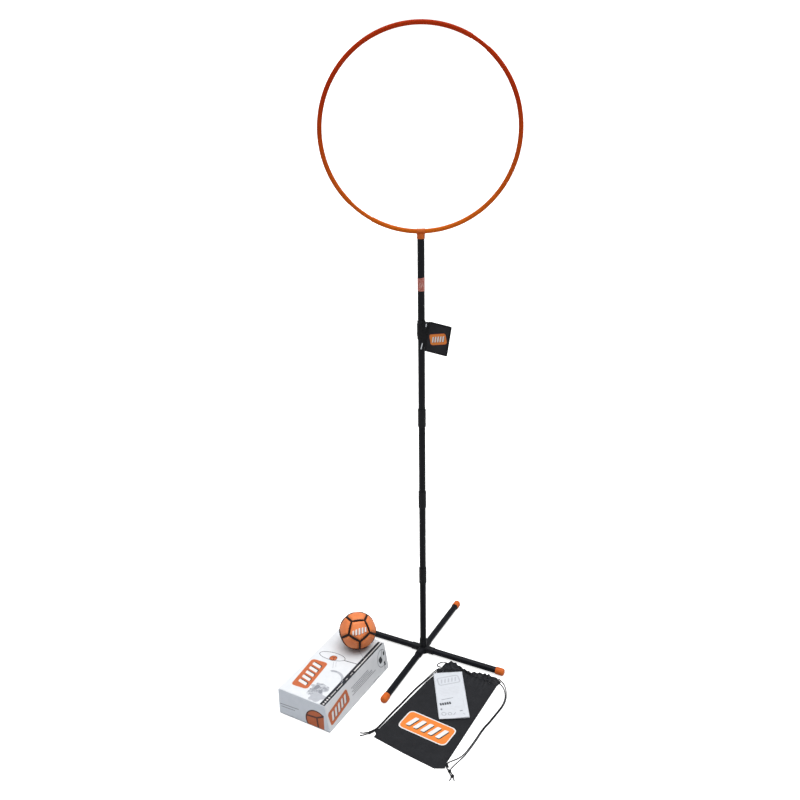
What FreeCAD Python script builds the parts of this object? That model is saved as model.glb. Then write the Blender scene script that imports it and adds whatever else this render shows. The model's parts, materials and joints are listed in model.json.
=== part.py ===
import FreeCAD
import Part
import math
import os

# A hoop goal game: a cross-foot stand of plug-together tubes with a big upright hoop,
# a strap-on tag, a stitched ball, its carton, a drawstring bag and a folded leaflet.
# Millimetres. X lies in the hoop's plane, Z is up, and the origin is on the floor under
# the pole.

# ---- driving dimensions -------------------------------------------------------------

# tubes and their push fits
tube_od = 22.0
tube_wall = 1.2
tube_length = 296.0      # one pole tube
fit_gap = 0.05            # radial running clearance of every push fit
edge_break = 0.6          # small chamfer on moulded edges

# hub and legs
arm_od = 26.0
arm_reach = 42.0
socket_floor = 12.0       # from the hub's centre to the bottom of a socket
pad_radius = 18.0
pad_height = 2.0
leg_turn = -27.31         # first leg's direction, degrees from +X
leg_count = 4
leg_length = 290.0        # one leg tube
cap_inner_end = 281.0     # along the leg, from the hub's centre
cap_outer_end = 311.0
cap_nose = 8.0            # the radius round a cap's outer end

# pole
pole_count = 5
coupler_od = 26.0
coupler_length = 60.0
rib_height = 2.0
rib_bore = 9.0

# hoop
hoop_radius = 289.0       # to the middle of the hoop's tube
hoop_tube_od = 14.0
hoop_tube_wall = 1.0
neck_insert = 6.0         # degrees of neck inside the section before
collar_od = 24.5
skirt_length = 10.0
collar_height = 6.0
stem_length = 30.0
saddle_od = 16.8
saddle_half_angle = 2.5
hoop_drop = 11.0          # hoop tube's centre above the top tube's end

# label on the top tube
label_low = 1342.0
label_high = 1386.0
label_slant = 6.0
label_thickness = 0.2

# tag
tag_width = 75.0
tag_height = 99.0
tag_tilt = -8.9           # degrees in its own plane
tag_swing = -20.0         # degrees round the pole from facing -Y
tag_corner = (29.9, 1251.7)
tag_face_y = -17.6
tag_thickness = 3.0
cover_inset = 0.5
strap_thickness = 1.0
strap_low = 1196.0
strap_high = 1236.0
tongue_reach = 44.0       # from the pole's axis to the tongue's sewn end
badge_width = 54.0
badge_height = 36.0
badge_thickness = 0.48
badge_middle = (38.5, -49.9)
badge_turn = 18.0
binding_width = 4.5
binding_height = 1.4

# ball
ball_radius = 63.5
carcass_radius = 60.0
seam_width = 4.0
valve_radius = 2.5
valve_depth = 6.0         # how far the valve's hole goes into the carcass
ball_x, ball_y = -228.0, -96.0
ball_facing = (0.132, -0.779, 0.613)
ball_panel_turn = 4.0

# carton
board = 1.5
carton_corner = (-482.0, -311.0)
carton_turn = -30.0
carton_width = 198.0
carton_splay = 17.0       # how far one side wall leans out at the floor
carton_length = 374.0
carton_height = 100.0
crease_gap = 0.5
tongue_length = 14.0
tongue_low = 3.0
dust_flap_width = 40.0

# bag
cloth = 2.4               # allowance for one soft layer
layer_gap = 0.2
gather_height = 16.0
cord_diameter = 3.6
knot_radius = 4.6
loop_height = 5.0

# leaflet
leaflet_width = 100.0
leaflet_length = 226.0
leaflet_centre = (87.0, -243.0)
leaflet_turn = 2.5
leaf_thickness = 0.3
leaf_gap = 0.3

# ---- worked-out values --------------------------------------------------------------

tube_r = tube_od / 2
socket_r = tube_r + fit_gap
hub_z = arm_od / 2
pole_base = hub_z + socket_floor
pole_pitch = tube_length + rib_height
pole_top = pole_base + pole_pitch * (pole_count - 1) + tube_length
hoop_low = pole_top + hoop_drop
hoop_z = hoop_low + hoop_radius
hoop_r = hoop_tube_od / 2
hoop_bore = hoop_r - hoop_tube_wall
neck_r = hoop_bore - fit_gap
cord_z = cord_diameter / 2 + 0.1
bag_top = 2 * cloth + layer_gap
leaflet_z = bag_top + leaf_gap

Vec = FreeCAD.Vector
X, Y, Z = Vec(1, 0, 0), Vec(0, 1, 0), Vec(0, 0, 1)

# ---- general shapes -----------------------------------------------------------------


def rod(radius, length, start=Vec(0, 0, 0), along=Z):
    return Part.makeCylinder(radius, length, start, along)


def ring(outer, inner, length, start=Vec(0, 0, 0), along=Z):
    return rod(outer, length, start, along).cut(rod(inner, length, start, along))


def plate(outline, low, high):
    """A flat solid whose outline is a list of (x, y) points."""
    points = [Vec(x, y, low) for x, y in outline]
    face = Part.Face(Part.makePolygon(points + points[:1]))
    return face.extrude(Vec(0, 0, high - low))


def turned(shape, degrees, axis=Z, about=Vec(0, 0, 0)):
    copy = shape.copy()
    copy.rotate(about, axis, degrees)
    return copy


def moved(shape, x, y, z):
    copy = shape.copy()
    copy.translate(Vec(x, y, z))
    return copy


def direction(degrees):
    return Vec(math.cos(math.radians(degrees)), math.sin(math.radians(degrees)), 0)


def save(name, shape):
    if not shape.isValid():
        raise ValueError(name + " is not a valid shape")
    shape.exportStep("parts/" + name + ".step")


# ---- stand --------------------------------------------------------------------------


def hub_fitting():
    body = Part.makeSphere(arm_od / 2, Vec(0, 0, hub_z))
    body = body.fuse(rod(pad_radius, pad_height + 2))
    mouths = [(direction(leg_turn + 90 * leg), Vec(0, 0, hub_z)) for leg in range(leg_count)]
    mouths.append((Z, Vec(0, 0, hub_z)))
    for along, start in mouths:
        arm = rod(arm_od / 2, arm_reach, start, along)
        body = body.fuse(arm)
    for along, start in mouths:
        depth = arm_reach - socket_floor
        body = body.cut(rod(socket_r, depth, start + along * socket_floor, along))
    floor_cut = Part.makeBox(200, 200, 50, Vec(-100, -100, -50))
    return body.cut(floor_cut).removeSplitter()


def leg_tube(leg):
    along = direction(leg_turn + 90 * leg)
    start = Vec(0, 0, hub_z) + along * socket_floor
    return ring(tube_r, tube_r - tube_wall, leg_length, start, along)


def leg_cap(leg):
    """A moulded cap over the tube's end, with a rounded nose and a flat end wall."""
    length = cap_outer_end - cap_inner_end
    cap = rod(arm_od / 2, length)
    nose = [edge for edge in cap.Edges if abs(edge.CenterOfMass.z - length) < 0.1]
    cap = cap.makeFillet(cap_nose, [edge for edge in nose if edge.Curve.TypeId == "Part::GeomCircle"])
    cap = cap.cut(rod(socket_r, socket_floor + leg_length - cap_inner_end + 0.2))
    cap = turned(cap, 90, Y)
    cap = turned(cap, leg_turn + 90 * leg)
    along = direction(leg_turn + 90 * leg)
    start = Vec(0, 0, hub_z) + along * cap_inner_end
    return moved(cap, start.x, start.y, start.z)


def pole_tube(number):
    start = Vec(0, 0, pole_base + pole_pitch * number)
    return ring(tube_r, tube_r - tube_wall, tube_length, start)


def coupler(number):
    """A sleeve over two tube ends, with a stop rib half way along its bore."""
    middle = pole_base + pole_pitch * number + tube_length + rib_height / 2
    low = middle - coupler_length / 2
    sleeve = ring(coupler_od / 2, socket_r, coupler_length, Vec(0, 0, low))
    rims = [edge for edge in sleeve.Edges if edge.Curve.TypeId == "Part::GeomCircle"
            and abs(edge.Curve.Radius - coupler_od / 2) < 0.01]
    sleeve = sleeve.makeChamfer(edge_break, rims)
    rib = ring(socket_r + 0.5, rib_bore, rib_height, Vec(0, 0, middle - rib_height / 2))
    return sleeve.fuse(rib).removeSplitter()


def pole_label():
    """A sticker round the front of the top tube, its top edge cut on a slant."""
    height = label_high - label_low
    sticker = ring(tube_r + label_thickness, tube_r + 0.02, height, Vec(0, 0, label_low))
    window = [(-20, label_low), (20, label_low), (20, label_high), (-20, label_high - label_slant)]
    points = [Vec(x, -20, z) for x, z in window]
    cutter = Part.Face(Part.makePolygon(points + points[:1])).extrude(Vec(0, 23, 0))
    return sticker.common(cutter)


# ---- hoop ---------------------------------------------------------------------------


def hoop_point(degrees):
    """Angles start at the hoop's lowest point and grow towards -X."""
    angle = math.radians(degrees)
    return Vec(-hoop_radius * math.sin(angle), 0, hoop_z - hoop_radius * math.cos(angle))


def hoop_arc(radius, start, end):
    angle = math.radians(start)
    tangent = Vec(-math.cos(angle), 0, math.sin(angle))
    disc = Part.Face(Part.Wire(Part.makeCircle(radius, hoop_point(start), tangent)))
    return disc.revolve(Vec(0, 0, hoop_z), Y, end - start)


def hoop_section(start, end, neck_shown):
    """One bent tube: full size up to its open end, and a swaged neck at its start."""
    body_start = start + neck_shown
    body = hoop_arc(hoop_r, body_start, end)
    neck = hoop_arc(neck_r, start - neck_insert, body_start)
    bore = hoop_arc(hoop_bore, body_start + 1, end)
    neck_bore = hoop_arc(neck_r - hoop_tube_wall, start - neck_insert, body_start + 1)
    return body.fuse(neck).cut(bore).cut(neck_bore)


# start, end and the length of bare neck, in degrees
hoop_sections = [(30, 120, 16), (120, 210, 0), (210, 300, 11), (300, 390, 0)]


def hoop_connector():
    """T piece: a stem inside the top tube, a skirt over its end, a saddle on the hoop."""
    collar_low = pole_top - skirt_length
    outer = rod(collar_od / 2, skirt_length + collar_height, Vec(0, 0, collar_low))
    outer = outer.cut(rod(socket_r, skirt_length + 0.2, Vec(0, 0, collar_low)))
    stem = rod(tube_r - tube_wall - fit_gap, stem_length + 1, Vec(0, 0, pole_top - stem_length + 0.2))
    saddle = hoop_arc(saddle_od / 2, -saddle_half_angle, saddle_half_angle)
    neck = rod(7.0, hoop_drop, Vec(0, 0, pole_top + 1))
    body = outer.fuse(stem).fuse(saddle).fuse(neck)
    clear = hoop_arc(hoop_r + fit_gap, -saddle_half_angle - 1, saddle_half_angle + 1)
    return body.cut(clear).removeSplitter()


# ---- tag ----------------------------------------------------------------------------


def on_tag(shape):
    """Tag pieces are drawn flat in XZ with their upper left corner at the origin."""
    tilted = turned(shape, -tag_tilt, Y)
    return turned(moved(tilted, tag_corner[0], 0, tag_corner[1]), tag_swing)


def tag_panel(inset, front, back, radius):
    """A round-cornered panel, front and back given as y."""
    width, height = tag_width - 2 * inset, tag_height - 2 * inset
    block = Part.makeBox(width, back - front, height, Vec(inset, front, inset - tag_height))
    uprights = [edge for edge in block.Edges
                if abs(edge.Vertexes[0].Y - edge.Vertexes[1].Y) > 0.1]
    return block.makeFillet(radius, uprights)


def tag_cover():
    return on_tag(tag_panel(cover_inset, tag_face_y, tag_face_y + tag_thickness, 3.0))


def tag_binding():
    """The raised bound edge round the cover's face."""
    front = tag_face_y - binding_height
    outer = tag_panel(cover_inset, front, tag_face_y, 3.0)
    return on_tag(outer.cut(tag_panel(cover_inset + binding_width, front, tag_face_y, 1.0)))


def tag_strap():
    """A webbing band round the coupler, with a flat tongue sewn to the cover's back."""
    inner = coupler_od / 2 + fit_gap
    height = strap_high - strap_low
    band = ring(inner + strap_thickness, inner, height, Vec(0, 0, strap_low))
    tongue_y = tag_face_y + tag_thickness
    tongue = Part.makeBox(tongue_reach, strap_thickness, height, Vec(0, tongue_y, strap_low))
    body = band.fuse(tongue)
    body = body.cut(rod(inner, height, Vec(0, 0, strap_low))).removeSplitter()
    return turned(body, tag_swing)


def tag_ties():
    """Two short white ties at the cover's hinge side."""
    ties = []
    for x, z, length, lean in [(19.9, 1231.3, 11.0, 10.0), (3.5, 1157.0, 22.0, 13.0)]:
        tie = Part.makeBox(3.2, 1.2, length, Vec(x - 1.6, tag_face_y + 1.5, z))
        ties.append(turned(turned(tie, lean, Y, Vec(x, 0, z)), tag_swing))
    return Part.makeCompound(ties)


def tag_badge():
    """A thin printed rectangle, turned against its tag's tilt."""
    front = tag_face_y - badge_thickness - 0.02
    middle_x, middle_z = badge_middle
    print_block = Part.makeBox(badge_width, badge_thickness, badge_height,
                               Vec(middle_x - badge_width / 2, front, middle_z - badge_height / 2))
    return on_tag(turned(print_block, -badge_turn, Y, Vec(middle_x, 0, middle_z)))


# ---- ball ---------------------------------------------------------------------------


def ball_frame():
    """Three directions: out of the facing panel, towards one of its corners, and across."""
    out = Vec(*ball_facing).normalize()
    side = Z.cross(out).normalize()
    down = side.cross(out).normalize()
    turn = math.radians(ball_panel_turn)
    corner = down * math.cos(turn) + side * math.sin(turn)
    return out, corner, out.cross(corner)


def panel_normals():
    """The middles of a ball's twelve pentagons, the facing one first."""
    out, corner, across = ball_frame()
    belt = math.atan(2)
    normals = [out]
    for polar, offset in [(belt, 36), (math.pi - belt, 0)]:
        for step in range(5):
            angle = math.radians(offset + 72 * step)
            level = corner * math.cos(angle) + across * math.sin(angle)
            normals.append(out * math.cos(polar) + level * math.sin(polar))
    normals.append(out * -1)
    return normals


def pentagon_corners(normal, normals):
    """Directions of one pentagon's corners, in order round it."""
    near = [other for other in normals if 0.2 < normal.dot(other) < 0.9]
    first = near[0] - normal * normal.dot(near[0])
    second = normal.cross(first)
    near.sort(key=lambda other: math.atan2(other.dot(second), other.dot(first)))
    return [(normal + near[i] + near[(i + 1) % 5]).normalize() for i in range(5)]


def ball_panel(normal, normals):
    shell = Part.makeSphere(ball_radius).cut(Part.makeSphere(carcass_radius + 0.1))
    edge_angle = math.acos(normal.dot((pentagon_corners(normal, normals)[0]
                                       + pentagon_corners(normal, normals)[1]).normalize()))
    shrink = 1 - seam_width / 2 / (ball_radius * math.tan(edge_angle))
    corners = []
    for corner in pentagon_corners(normal, normals):
        middle = normal * (1.3 * ball_radius)
        flat = corner * (middle.Length / corner.dot(normal))
        corners.append(middle + (flat - middle) * shrink)
    apex = Vec(0, 0, 0)
    faces = [Part.Face(Part.makePolygon([apex, corners[i], corners[(i + 1) % 5], apex]))
             for i in range(5)]
    faces.append(Part.Face(Part.makePolygon(corners + corners[:1])))
    wedge = Part.Solid(Part.Shell(faces))
    if wedge.Volume < 0:
        wedge.reverse()
    return shell.common(wedge)


def ball_centre():
    return ball_x, ball_y, carton_height + ball_radius + 0.3


def ball_pieces():
    normals = panel_normals()
    hole = rod(valve_radius, ball_radius, normals[-1] * (carcass_radius - valve_depth), normals[-1])
    panels = Part.makeCompound([ball_panel(normal, normals).cut(hole) for normal in normals])
    carcass = Part.makeSphere(carcass_radius).cut(hole)
    plug_low = carcass_radius - valve_depth + 0.1
    plug = rod(valve_radius - 0.1, ball_radius - 0.7 - plug_low, normals[-1] * plug_low, normals[-1])
    pieces = {"ball_panels": panels, "ball_carcass": carcass, "ball_valve": plug}
    return {name: moved(shape, *ball_centre()) for name, shape in pieces.items()}


# ---- carton -------------------------------------------------------------------------


def in_carton(shape):
    """Carton pieces are drawn with X across, Y along it from its opening end, and Z up."""
    return moved(turned(shape, carton_turn), carton_corner[0], carton_corner[1], 0)


def carton_prism(inset, start, end):
    """The carton's cross-section, one wall upright and the other splayed at the floor."""
    left, low, high = inset, inset, carton_height - inset
    slope = carton_splay / carton_height
    right_low = carton_width - inset - slope * low
    right_high = carton_width - inset - slope * high
    section = [(left, low), (right_low, low), (right_high, high), (left, high)]
    points = [Vec(x, start, z) for x, z in section]
    return Part.Face(Part.makePolygon(points + points[:1])).extrude(Vec(0, end - start, 0))


def carton_body():
    """Four walls and a closed far end."""
    wall_start = board + crease_gap
    walls = carton_prism(0, wall_start, carton_length)
    return in_carton(walls.cut(carton_prism(board, wall_start - 1, carton_length - board)))


def carton_flap():
    """The end panel, creased along the top edge, with a tongue that tucks in at the floor."""
    panel = carton_prism(0, 0, board)
    trim = Part.makeBox(400, board, 1.0, Vec(-50, 0, 0))
    panel = panel.cut(trim).cut(moved(trim, 0, 0, carton_height - 0.4))
    tongue = Part.makeBox(carton_width - 30, tongue_length, board, Vec(12, 0, tongue_low))
    return in_carton(panel.fuse(tongue).removeSplitter())


def dust_flaps():
    """Two side flaps folded in behind the end panel."""
    start = board + crease_gap + 0.3
    strip = carton_prism(board + 0.1, start, start + board)
    strip = strip.common(Part.makeBox(400, 10, carton_height - 20, Vec(-50, 0, 10)))
    middle_width = carton_width - carton_splay - 2 * dust_flap_width
    gap = Part.makeBox(middle_width, 20, 200, Vec(dust_flap_width, -5, -50))
    return in_carton(strip.cut(gap))


# ---- drawstring bag -----------------------------------------------------------------

# the gathered mouth, from its left end to its right end
mouth_outer = [(43, -106), (60, -91), (78, -78), (98, -72), (112, -78), (124, -98), (140, -111),
               (160, -127), (194, -129), (222, -140), (252, -160), (264, -176)]
# where the gathers end and the smooth cloth begins
mouth_inner = [(244, -200), (205, -172), (165, -152), (140, -124), (84, -116), (46, -120)]
# sides and foot, from the right of the mouth round to its left
bag_sides = [(150, -372), (56, -545), (49, -568), (16, -567), (-75, -503), (-170, -430),
             (-163, -417), (-168, -402), (-154, -394), (-105.4, -326.2), (6.6, -168.2)]


def bag_layer(low, high):
    return plate(mouth_inner + bag_sides[::-1], low, high)


def bag_channel():
    return plate(mouth_outer + mouth_inner, 0, gather_height)


def corner_loop(x, y, turn):
    """A folded webbing tab sewn into a bottom corner; the cord runs through it."""
    tab = Part.makeBox(16, 9, loop_height, Vec(-8, -4.5, 0))
    return moved(turned(tab, turn), x, y, 0)


def knot(x, y):
    """A tied knot, flattened where it lies on the floor."""
    lump = Part.makeSphere(knot_radius, Vec(x, y, knot_radius - 0.6))
    return lump.common(Part.makeBox(20, 20, 20, Vec(x - 10, y - 10, 0)))


# Cord routes, each from the mouth of the bag to its knot, or from a knot to a bare end,
# and one short turn that shows at the mouth's left end.
cord_routes = {
    "cord_left_outer": [(52, -103, 4), (37, -113, 3.4), (17, -137.5, 2.6), (-1, -163, cord_z),
                        (-25, -195, cord_z), (-53, -236, cord_z), (-80.5, -278, cord_z),
                        (-108, -314, cord_z), (-131, -347, cord_z), (-148.5, -373, cord_z),
                        (-164, -396, 2.6), (-180, -411, 4)],
    "cord_left_inner": [(52, -112, 3.6), (38, -123.5, 3.2), (20, -145.5, 2.4),
                        (1, -169.5, cord_z), (-22, -203, cord_z), (-49, -241.5, cord_z),
                        (-77, -281, cord_z), (-103, -317, cord_z), (-128, -352, cord_z),
                        (-147, -381, cord_z), (-164, -404, 2.6), (-180, -415, 4)],
    "cord_right_outer": [(255, -168, 7), (268, -181, 3.4), (274, -205, cord_z),
                         (273.5, -236, cord_z), (269, -268, cord_z), (255, -300, cord_z),
                         (232, -334, cord_z), (207, -371, cord_z), (180, -406, cord_z),
                         (157, -448, cord_z), (134, -486, cord_z), (113, -518, cord_z),
                         (90, -543, cord_z), (70, -566, cord_z), (63, -579, 4)],
    "cord_right_inner": [(249, -180, 5), (260, -190, cord_z), (268, -211, cord_z),
                         (269, -238, cord_z), (264, -266, cord_z), (251, -297, cord_z),
                         (228, -331, cord_z), (203, -368, cord_z), (176, -403, cord_z),
                         (153, -445, cord_z), (130, -483, cord_z), (109, -514, cord_z),
                         (89, -531, cord_z), (68, -540, cord_z), (54, -551, 2.6),
                         (53, -566, 4), (59, -578, 4)],
    "mouth_turn": [(90, -86, 9), (78, -76, 7.5), (64, -69.5, 4.5), (52, -73, cord_z),
                   (46, -82, 2.0), (50, -92, 3), (60, -97, 4.5)],
    "tail_left_outer": [(-183, -412, 4.4), (-193, -410.5, 3), (-204, -414, cord_z),
                        (-215, -410, cord_z)],
    "tail_left_inner": [(-183, -416, 3.4), (-193, -417, 2.6), (-204, -422, cord_z),
                        (-215, -424, cord_z)],
    "tail_right_outer": [(64, -583, 4), (68.5, -591, 3.5), (73, -600, 3.6), (72, -609, cord_z),
                         (75, -618, cord_z)],
    "tail_right_inner": [(60, -583, 4), (63, -592, 3.2), (67, -601, 3.6), (65, -610, cord_z),
                         (60, -617, cord_z)],
}


def rounded_path(points):
    """Straight runs joined by the largest tangent arcs that the runs allow."""
    edges, smallest = [], 1e9
    last = points[0]
    for before, corner, after in zip(points, points[1:], points[2:]):
        arriving, leaving = corner - before, after - corner
        turn = arriving.getAngle(leaving)
        reach = 0.45 * min(arriving.Length, leaving.Length)
        smallest = min(smallest, reach / math.tan(turn / 2))
        start = corner - arriving.normalize() * reach
        end = corner + leaving.normalize() * reach
        bisector = (start + end) * 0.5 - corner
        radius = reach / math.tan(turn / 2)
        to_centre = math.hypot(reach, radius)
        centre = corner + bisector.normalize() * to_centre
        middle = centre + (corner - centre).normalize() * radius
        edges.append(Part.LineSegment(last, start).toShape())
        edges.append(Part.Arc(start, middle, end).toShape())
        last = end
    edges.append(Part.LineSegment(last, points[-1]).toShape())
    return Part.Wire(edges), smallest


def cord(name):
    points = [Vec(*point) for point in cord_routes[name]]
    path, smallest = rounded_path(points)
    along = points[1] - points[0]
    section = Part.Wire(Part.makeCircle(cord_diameter / 2, points[0], along))
    tube = path.makePipeShell([section], True, False)
    expected = math.pi * cord_diameter ** 2 / 4 * path.Length
    print(f"{name}: length {path.Length:.1f}, tightest radius {smallest:.1f}, "
          f"volume ratio {tube.Volume / expected:.4f}, low {tube.BoundBox.ZMin:.2f}")
    return tube


# ---- leaflet ------------------------------------------------------------------------


def leaf(number):
    """Three leaves of one sheet, folded like an accordion and stacked."""
    low = leaflet_z + number * (leaf_thickness + leaf_gap)
    sheet = Part.makeBox(leaflet_width, leaflet_length, leaf_thickness,
                         Vec(-leaflet_width / 2, -leaflet_length / 2, low))
    return moved(turned(sheet, leaflet_turn), leaflet_centre[0], leaflet_centre[1], 0)


# ---- all pieces ---------------------------------------------------------------------


def all_pieces():
    pieces = {"hub_fitting": hub_fitting()}
    for leg in range(leg_count):
        pieces[f"leg_tube_{leg + 1}"] = leg_tube(leg)
        pieces[f"leg_cap_{leg + 1}"] = leg_cap(leg)
    for number in range(pole_count):
        pieces[f"pole_tube_{number + 1}"] = pole_tube(number)
    for number in range(pole_count - 1):
        pieces[f"coupler_{number + 1}"] = coupler(number)
    pieces["pole_label"] = pole_label()
    pieces["hoop_connector"] = hoop_connector()
    for number, section in enumerate(hoop_sections):
        pieces[f"hoop_section_{number + 1}"] = hoop_section(*section)
    pieces["tag_strap"] = tag_strap()
    pieces["tag_cover"] = tag_cover()
    pieces["tag_binding"] = tag_binding()
    pieces["tag_badge"] = tag_badge()
    pieces["tag_ties"] = tag_ties()
    pieces.update(ball_pieces())
    pieces["carton_body"] = carton_body()
    pieces["carton_dust_flaps"] = dust_flaps()
    pieces["carton_end_flap"] = carton_flap()
    pieces["bag_back"] = bag_layer(0, cloth)
    pieces["bag_front"] = bag_layer(cloth + layer_gap, bag_top)
    pieces["bag_channel"] = bag_channel()
    pieces["corner_loop_left"] = corner_loop(-172, -404, 40)
    pieces["corner_loop_right"] = corner_loop(56, -558, -80)
    pieces["knot_left"] = knot(-183, -413)
    pieces["knot_right"] = knot(62, -581)
    pieces["knot_right_end"] = knot(70, -602)
    for name in cord_routes:
        pieces[name] = cord(name)
    for number, name in enumerate(["leaf_back", "leaf_middle", "leaf_front"]):
        pieces[name] = leaf(number)
    return pieces


os.makedirs("parts", exist_ok=True)
for piece_name, piece in all_pieces().items():
    save(piece_name, piece)
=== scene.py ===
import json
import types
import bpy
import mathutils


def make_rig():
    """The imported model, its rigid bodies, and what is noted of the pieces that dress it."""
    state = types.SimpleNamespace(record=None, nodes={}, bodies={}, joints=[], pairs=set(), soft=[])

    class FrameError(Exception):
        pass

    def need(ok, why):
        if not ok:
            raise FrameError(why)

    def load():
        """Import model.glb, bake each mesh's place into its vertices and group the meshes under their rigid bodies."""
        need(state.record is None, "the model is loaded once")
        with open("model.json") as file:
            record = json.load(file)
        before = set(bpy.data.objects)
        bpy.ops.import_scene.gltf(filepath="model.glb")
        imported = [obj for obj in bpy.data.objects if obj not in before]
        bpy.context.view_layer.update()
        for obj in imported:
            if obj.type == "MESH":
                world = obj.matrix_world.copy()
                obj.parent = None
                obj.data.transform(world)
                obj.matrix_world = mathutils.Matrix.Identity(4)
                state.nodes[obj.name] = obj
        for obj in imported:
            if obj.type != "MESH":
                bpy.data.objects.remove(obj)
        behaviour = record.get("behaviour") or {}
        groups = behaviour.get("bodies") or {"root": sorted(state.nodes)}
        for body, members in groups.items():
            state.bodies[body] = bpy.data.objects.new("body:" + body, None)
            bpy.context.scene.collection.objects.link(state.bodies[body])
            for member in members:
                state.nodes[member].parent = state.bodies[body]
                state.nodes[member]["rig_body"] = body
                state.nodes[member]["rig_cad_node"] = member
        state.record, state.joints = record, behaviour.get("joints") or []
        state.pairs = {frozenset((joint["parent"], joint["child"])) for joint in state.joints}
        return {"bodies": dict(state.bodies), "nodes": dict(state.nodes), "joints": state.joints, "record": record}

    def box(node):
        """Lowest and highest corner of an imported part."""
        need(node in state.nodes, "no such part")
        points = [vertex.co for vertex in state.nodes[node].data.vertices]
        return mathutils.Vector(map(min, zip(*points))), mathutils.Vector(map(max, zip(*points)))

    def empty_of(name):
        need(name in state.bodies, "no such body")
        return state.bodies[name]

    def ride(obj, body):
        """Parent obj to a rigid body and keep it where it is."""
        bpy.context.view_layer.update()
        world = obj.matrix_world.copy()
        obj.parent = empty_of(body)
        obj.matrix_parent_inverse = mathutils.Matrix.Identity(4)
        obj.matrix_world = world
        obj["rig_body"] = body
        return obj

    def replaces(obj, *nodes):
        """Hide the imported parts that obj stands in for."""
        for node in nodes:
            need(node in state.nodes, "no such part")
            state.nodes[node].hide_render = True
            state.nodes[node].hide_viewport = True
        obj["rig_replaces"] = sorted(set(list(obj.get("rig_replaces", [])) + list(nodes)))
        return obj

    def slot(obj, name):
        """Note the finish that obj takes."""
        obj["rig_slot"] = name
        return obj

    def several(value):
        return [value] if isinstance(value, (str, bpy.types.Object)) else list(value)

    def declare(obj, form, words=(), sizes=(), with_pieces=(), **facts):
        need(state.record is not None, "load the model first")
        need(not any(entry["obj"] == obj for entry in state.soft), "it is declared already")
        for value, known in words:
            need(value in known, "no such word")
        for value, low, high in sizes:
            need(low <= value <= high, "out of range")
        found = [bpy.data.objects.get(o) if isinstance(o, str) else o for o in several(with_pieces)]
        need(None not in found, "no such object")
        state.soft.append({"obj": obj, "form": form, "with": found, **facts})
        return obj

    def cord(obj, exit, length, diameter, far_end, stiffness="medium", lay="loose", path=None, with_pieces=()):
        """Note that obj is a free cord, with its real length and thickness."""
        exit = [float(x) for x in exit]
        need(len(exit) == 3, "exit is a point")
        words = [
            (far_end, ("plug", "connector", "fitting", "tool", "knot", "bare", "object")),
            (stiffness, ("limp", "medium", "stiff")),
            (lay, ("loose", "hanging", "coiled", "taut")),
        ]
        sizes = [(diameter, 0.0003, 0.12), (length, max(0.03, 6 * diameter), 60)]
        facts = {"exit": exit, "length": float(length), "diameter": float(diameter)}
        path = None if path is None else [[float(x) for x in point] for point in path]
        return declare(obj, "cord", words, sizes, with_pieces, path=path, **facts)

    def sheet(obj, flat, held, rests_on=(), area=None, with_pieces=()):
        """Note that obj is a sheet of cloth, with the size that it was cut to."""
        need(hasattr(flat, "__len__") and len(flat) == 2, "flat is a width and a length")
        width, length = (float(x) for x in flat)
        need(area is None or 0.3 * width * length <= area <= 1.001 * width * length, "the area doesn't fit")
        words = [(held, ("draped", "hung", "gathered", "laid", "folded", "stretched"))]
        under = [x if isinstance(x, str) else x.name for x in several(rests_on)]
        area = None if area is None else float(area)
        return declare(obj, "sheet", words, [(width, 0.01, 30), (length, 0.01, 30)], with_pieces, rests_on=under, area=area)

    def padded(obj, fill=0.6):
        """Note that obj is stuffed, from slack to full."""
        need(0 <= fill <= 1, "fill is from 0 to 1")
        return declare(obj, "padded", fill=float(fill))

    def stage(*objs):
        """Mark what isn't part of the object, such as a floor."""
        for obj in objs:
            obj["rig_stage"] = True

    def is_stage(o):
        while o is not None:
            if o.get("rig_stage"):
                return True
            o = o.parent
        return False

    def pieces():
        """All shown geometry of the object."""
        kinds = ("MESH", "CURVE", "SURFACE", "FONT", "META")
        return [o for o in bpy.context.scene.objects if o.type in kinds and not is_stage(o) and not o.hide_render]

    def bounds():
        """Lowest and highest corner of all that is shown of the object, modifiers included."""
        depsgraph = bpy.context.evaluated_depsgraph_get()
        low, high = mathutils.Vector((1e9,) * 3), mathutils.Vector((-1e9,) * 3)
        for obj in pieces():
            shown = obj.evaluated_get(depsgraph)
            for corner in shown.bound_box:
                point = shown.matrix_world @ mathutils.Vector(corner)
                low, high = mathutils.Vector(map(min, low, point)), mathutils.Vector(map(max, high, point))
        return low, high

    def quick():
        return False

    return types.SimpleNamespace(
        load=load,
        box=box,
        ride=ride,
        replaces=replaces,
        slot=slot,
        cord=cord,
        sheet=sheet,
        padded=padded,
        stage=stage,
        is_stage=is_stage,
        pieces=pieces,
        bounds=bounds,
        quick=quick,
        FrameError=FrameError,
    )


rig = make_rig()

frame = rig.load()
cad_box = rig.bounds()

import bpy
import bmesh
import json
import math
import numpy as np
from mathutils import Matrix, Vector, noise
from mathutils.bvhtree import BVHTree

MM = 0.001


def turned(x, y, angle, middle=(0, 0)):
    """A flat place turned by an angle, in radians, and moved so that 0, 0 is at the middle."""
    c, s = math.cos(angle), math.sin(angle)
    return middle[0] + x * c - y * s, middle[1] + x * s + y * c


def around(first, second, angle):
    """A direction turned from the first of two upright axes towards the second."""
    return first * math.cos(angle) + second * math.sin(angle)


def circle(count):
    """Angles, in radians, of evenly spaced places on a circle."""
    return [math.tau * k / count for k in range(count)]


def pairs(ring):
    """Each place of a closed ring with the next one."""
    return zip(ring, ring[1:] + ring[:1])


def between(a, b, share):
    """A flat place on the straight line from a to b."""
    return a[0] + (b[0] - a[0]) * share, a[1] + (b[1] - a[1]) * share


# ---- camera, light and floor --------------------------------------------------------

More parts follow.
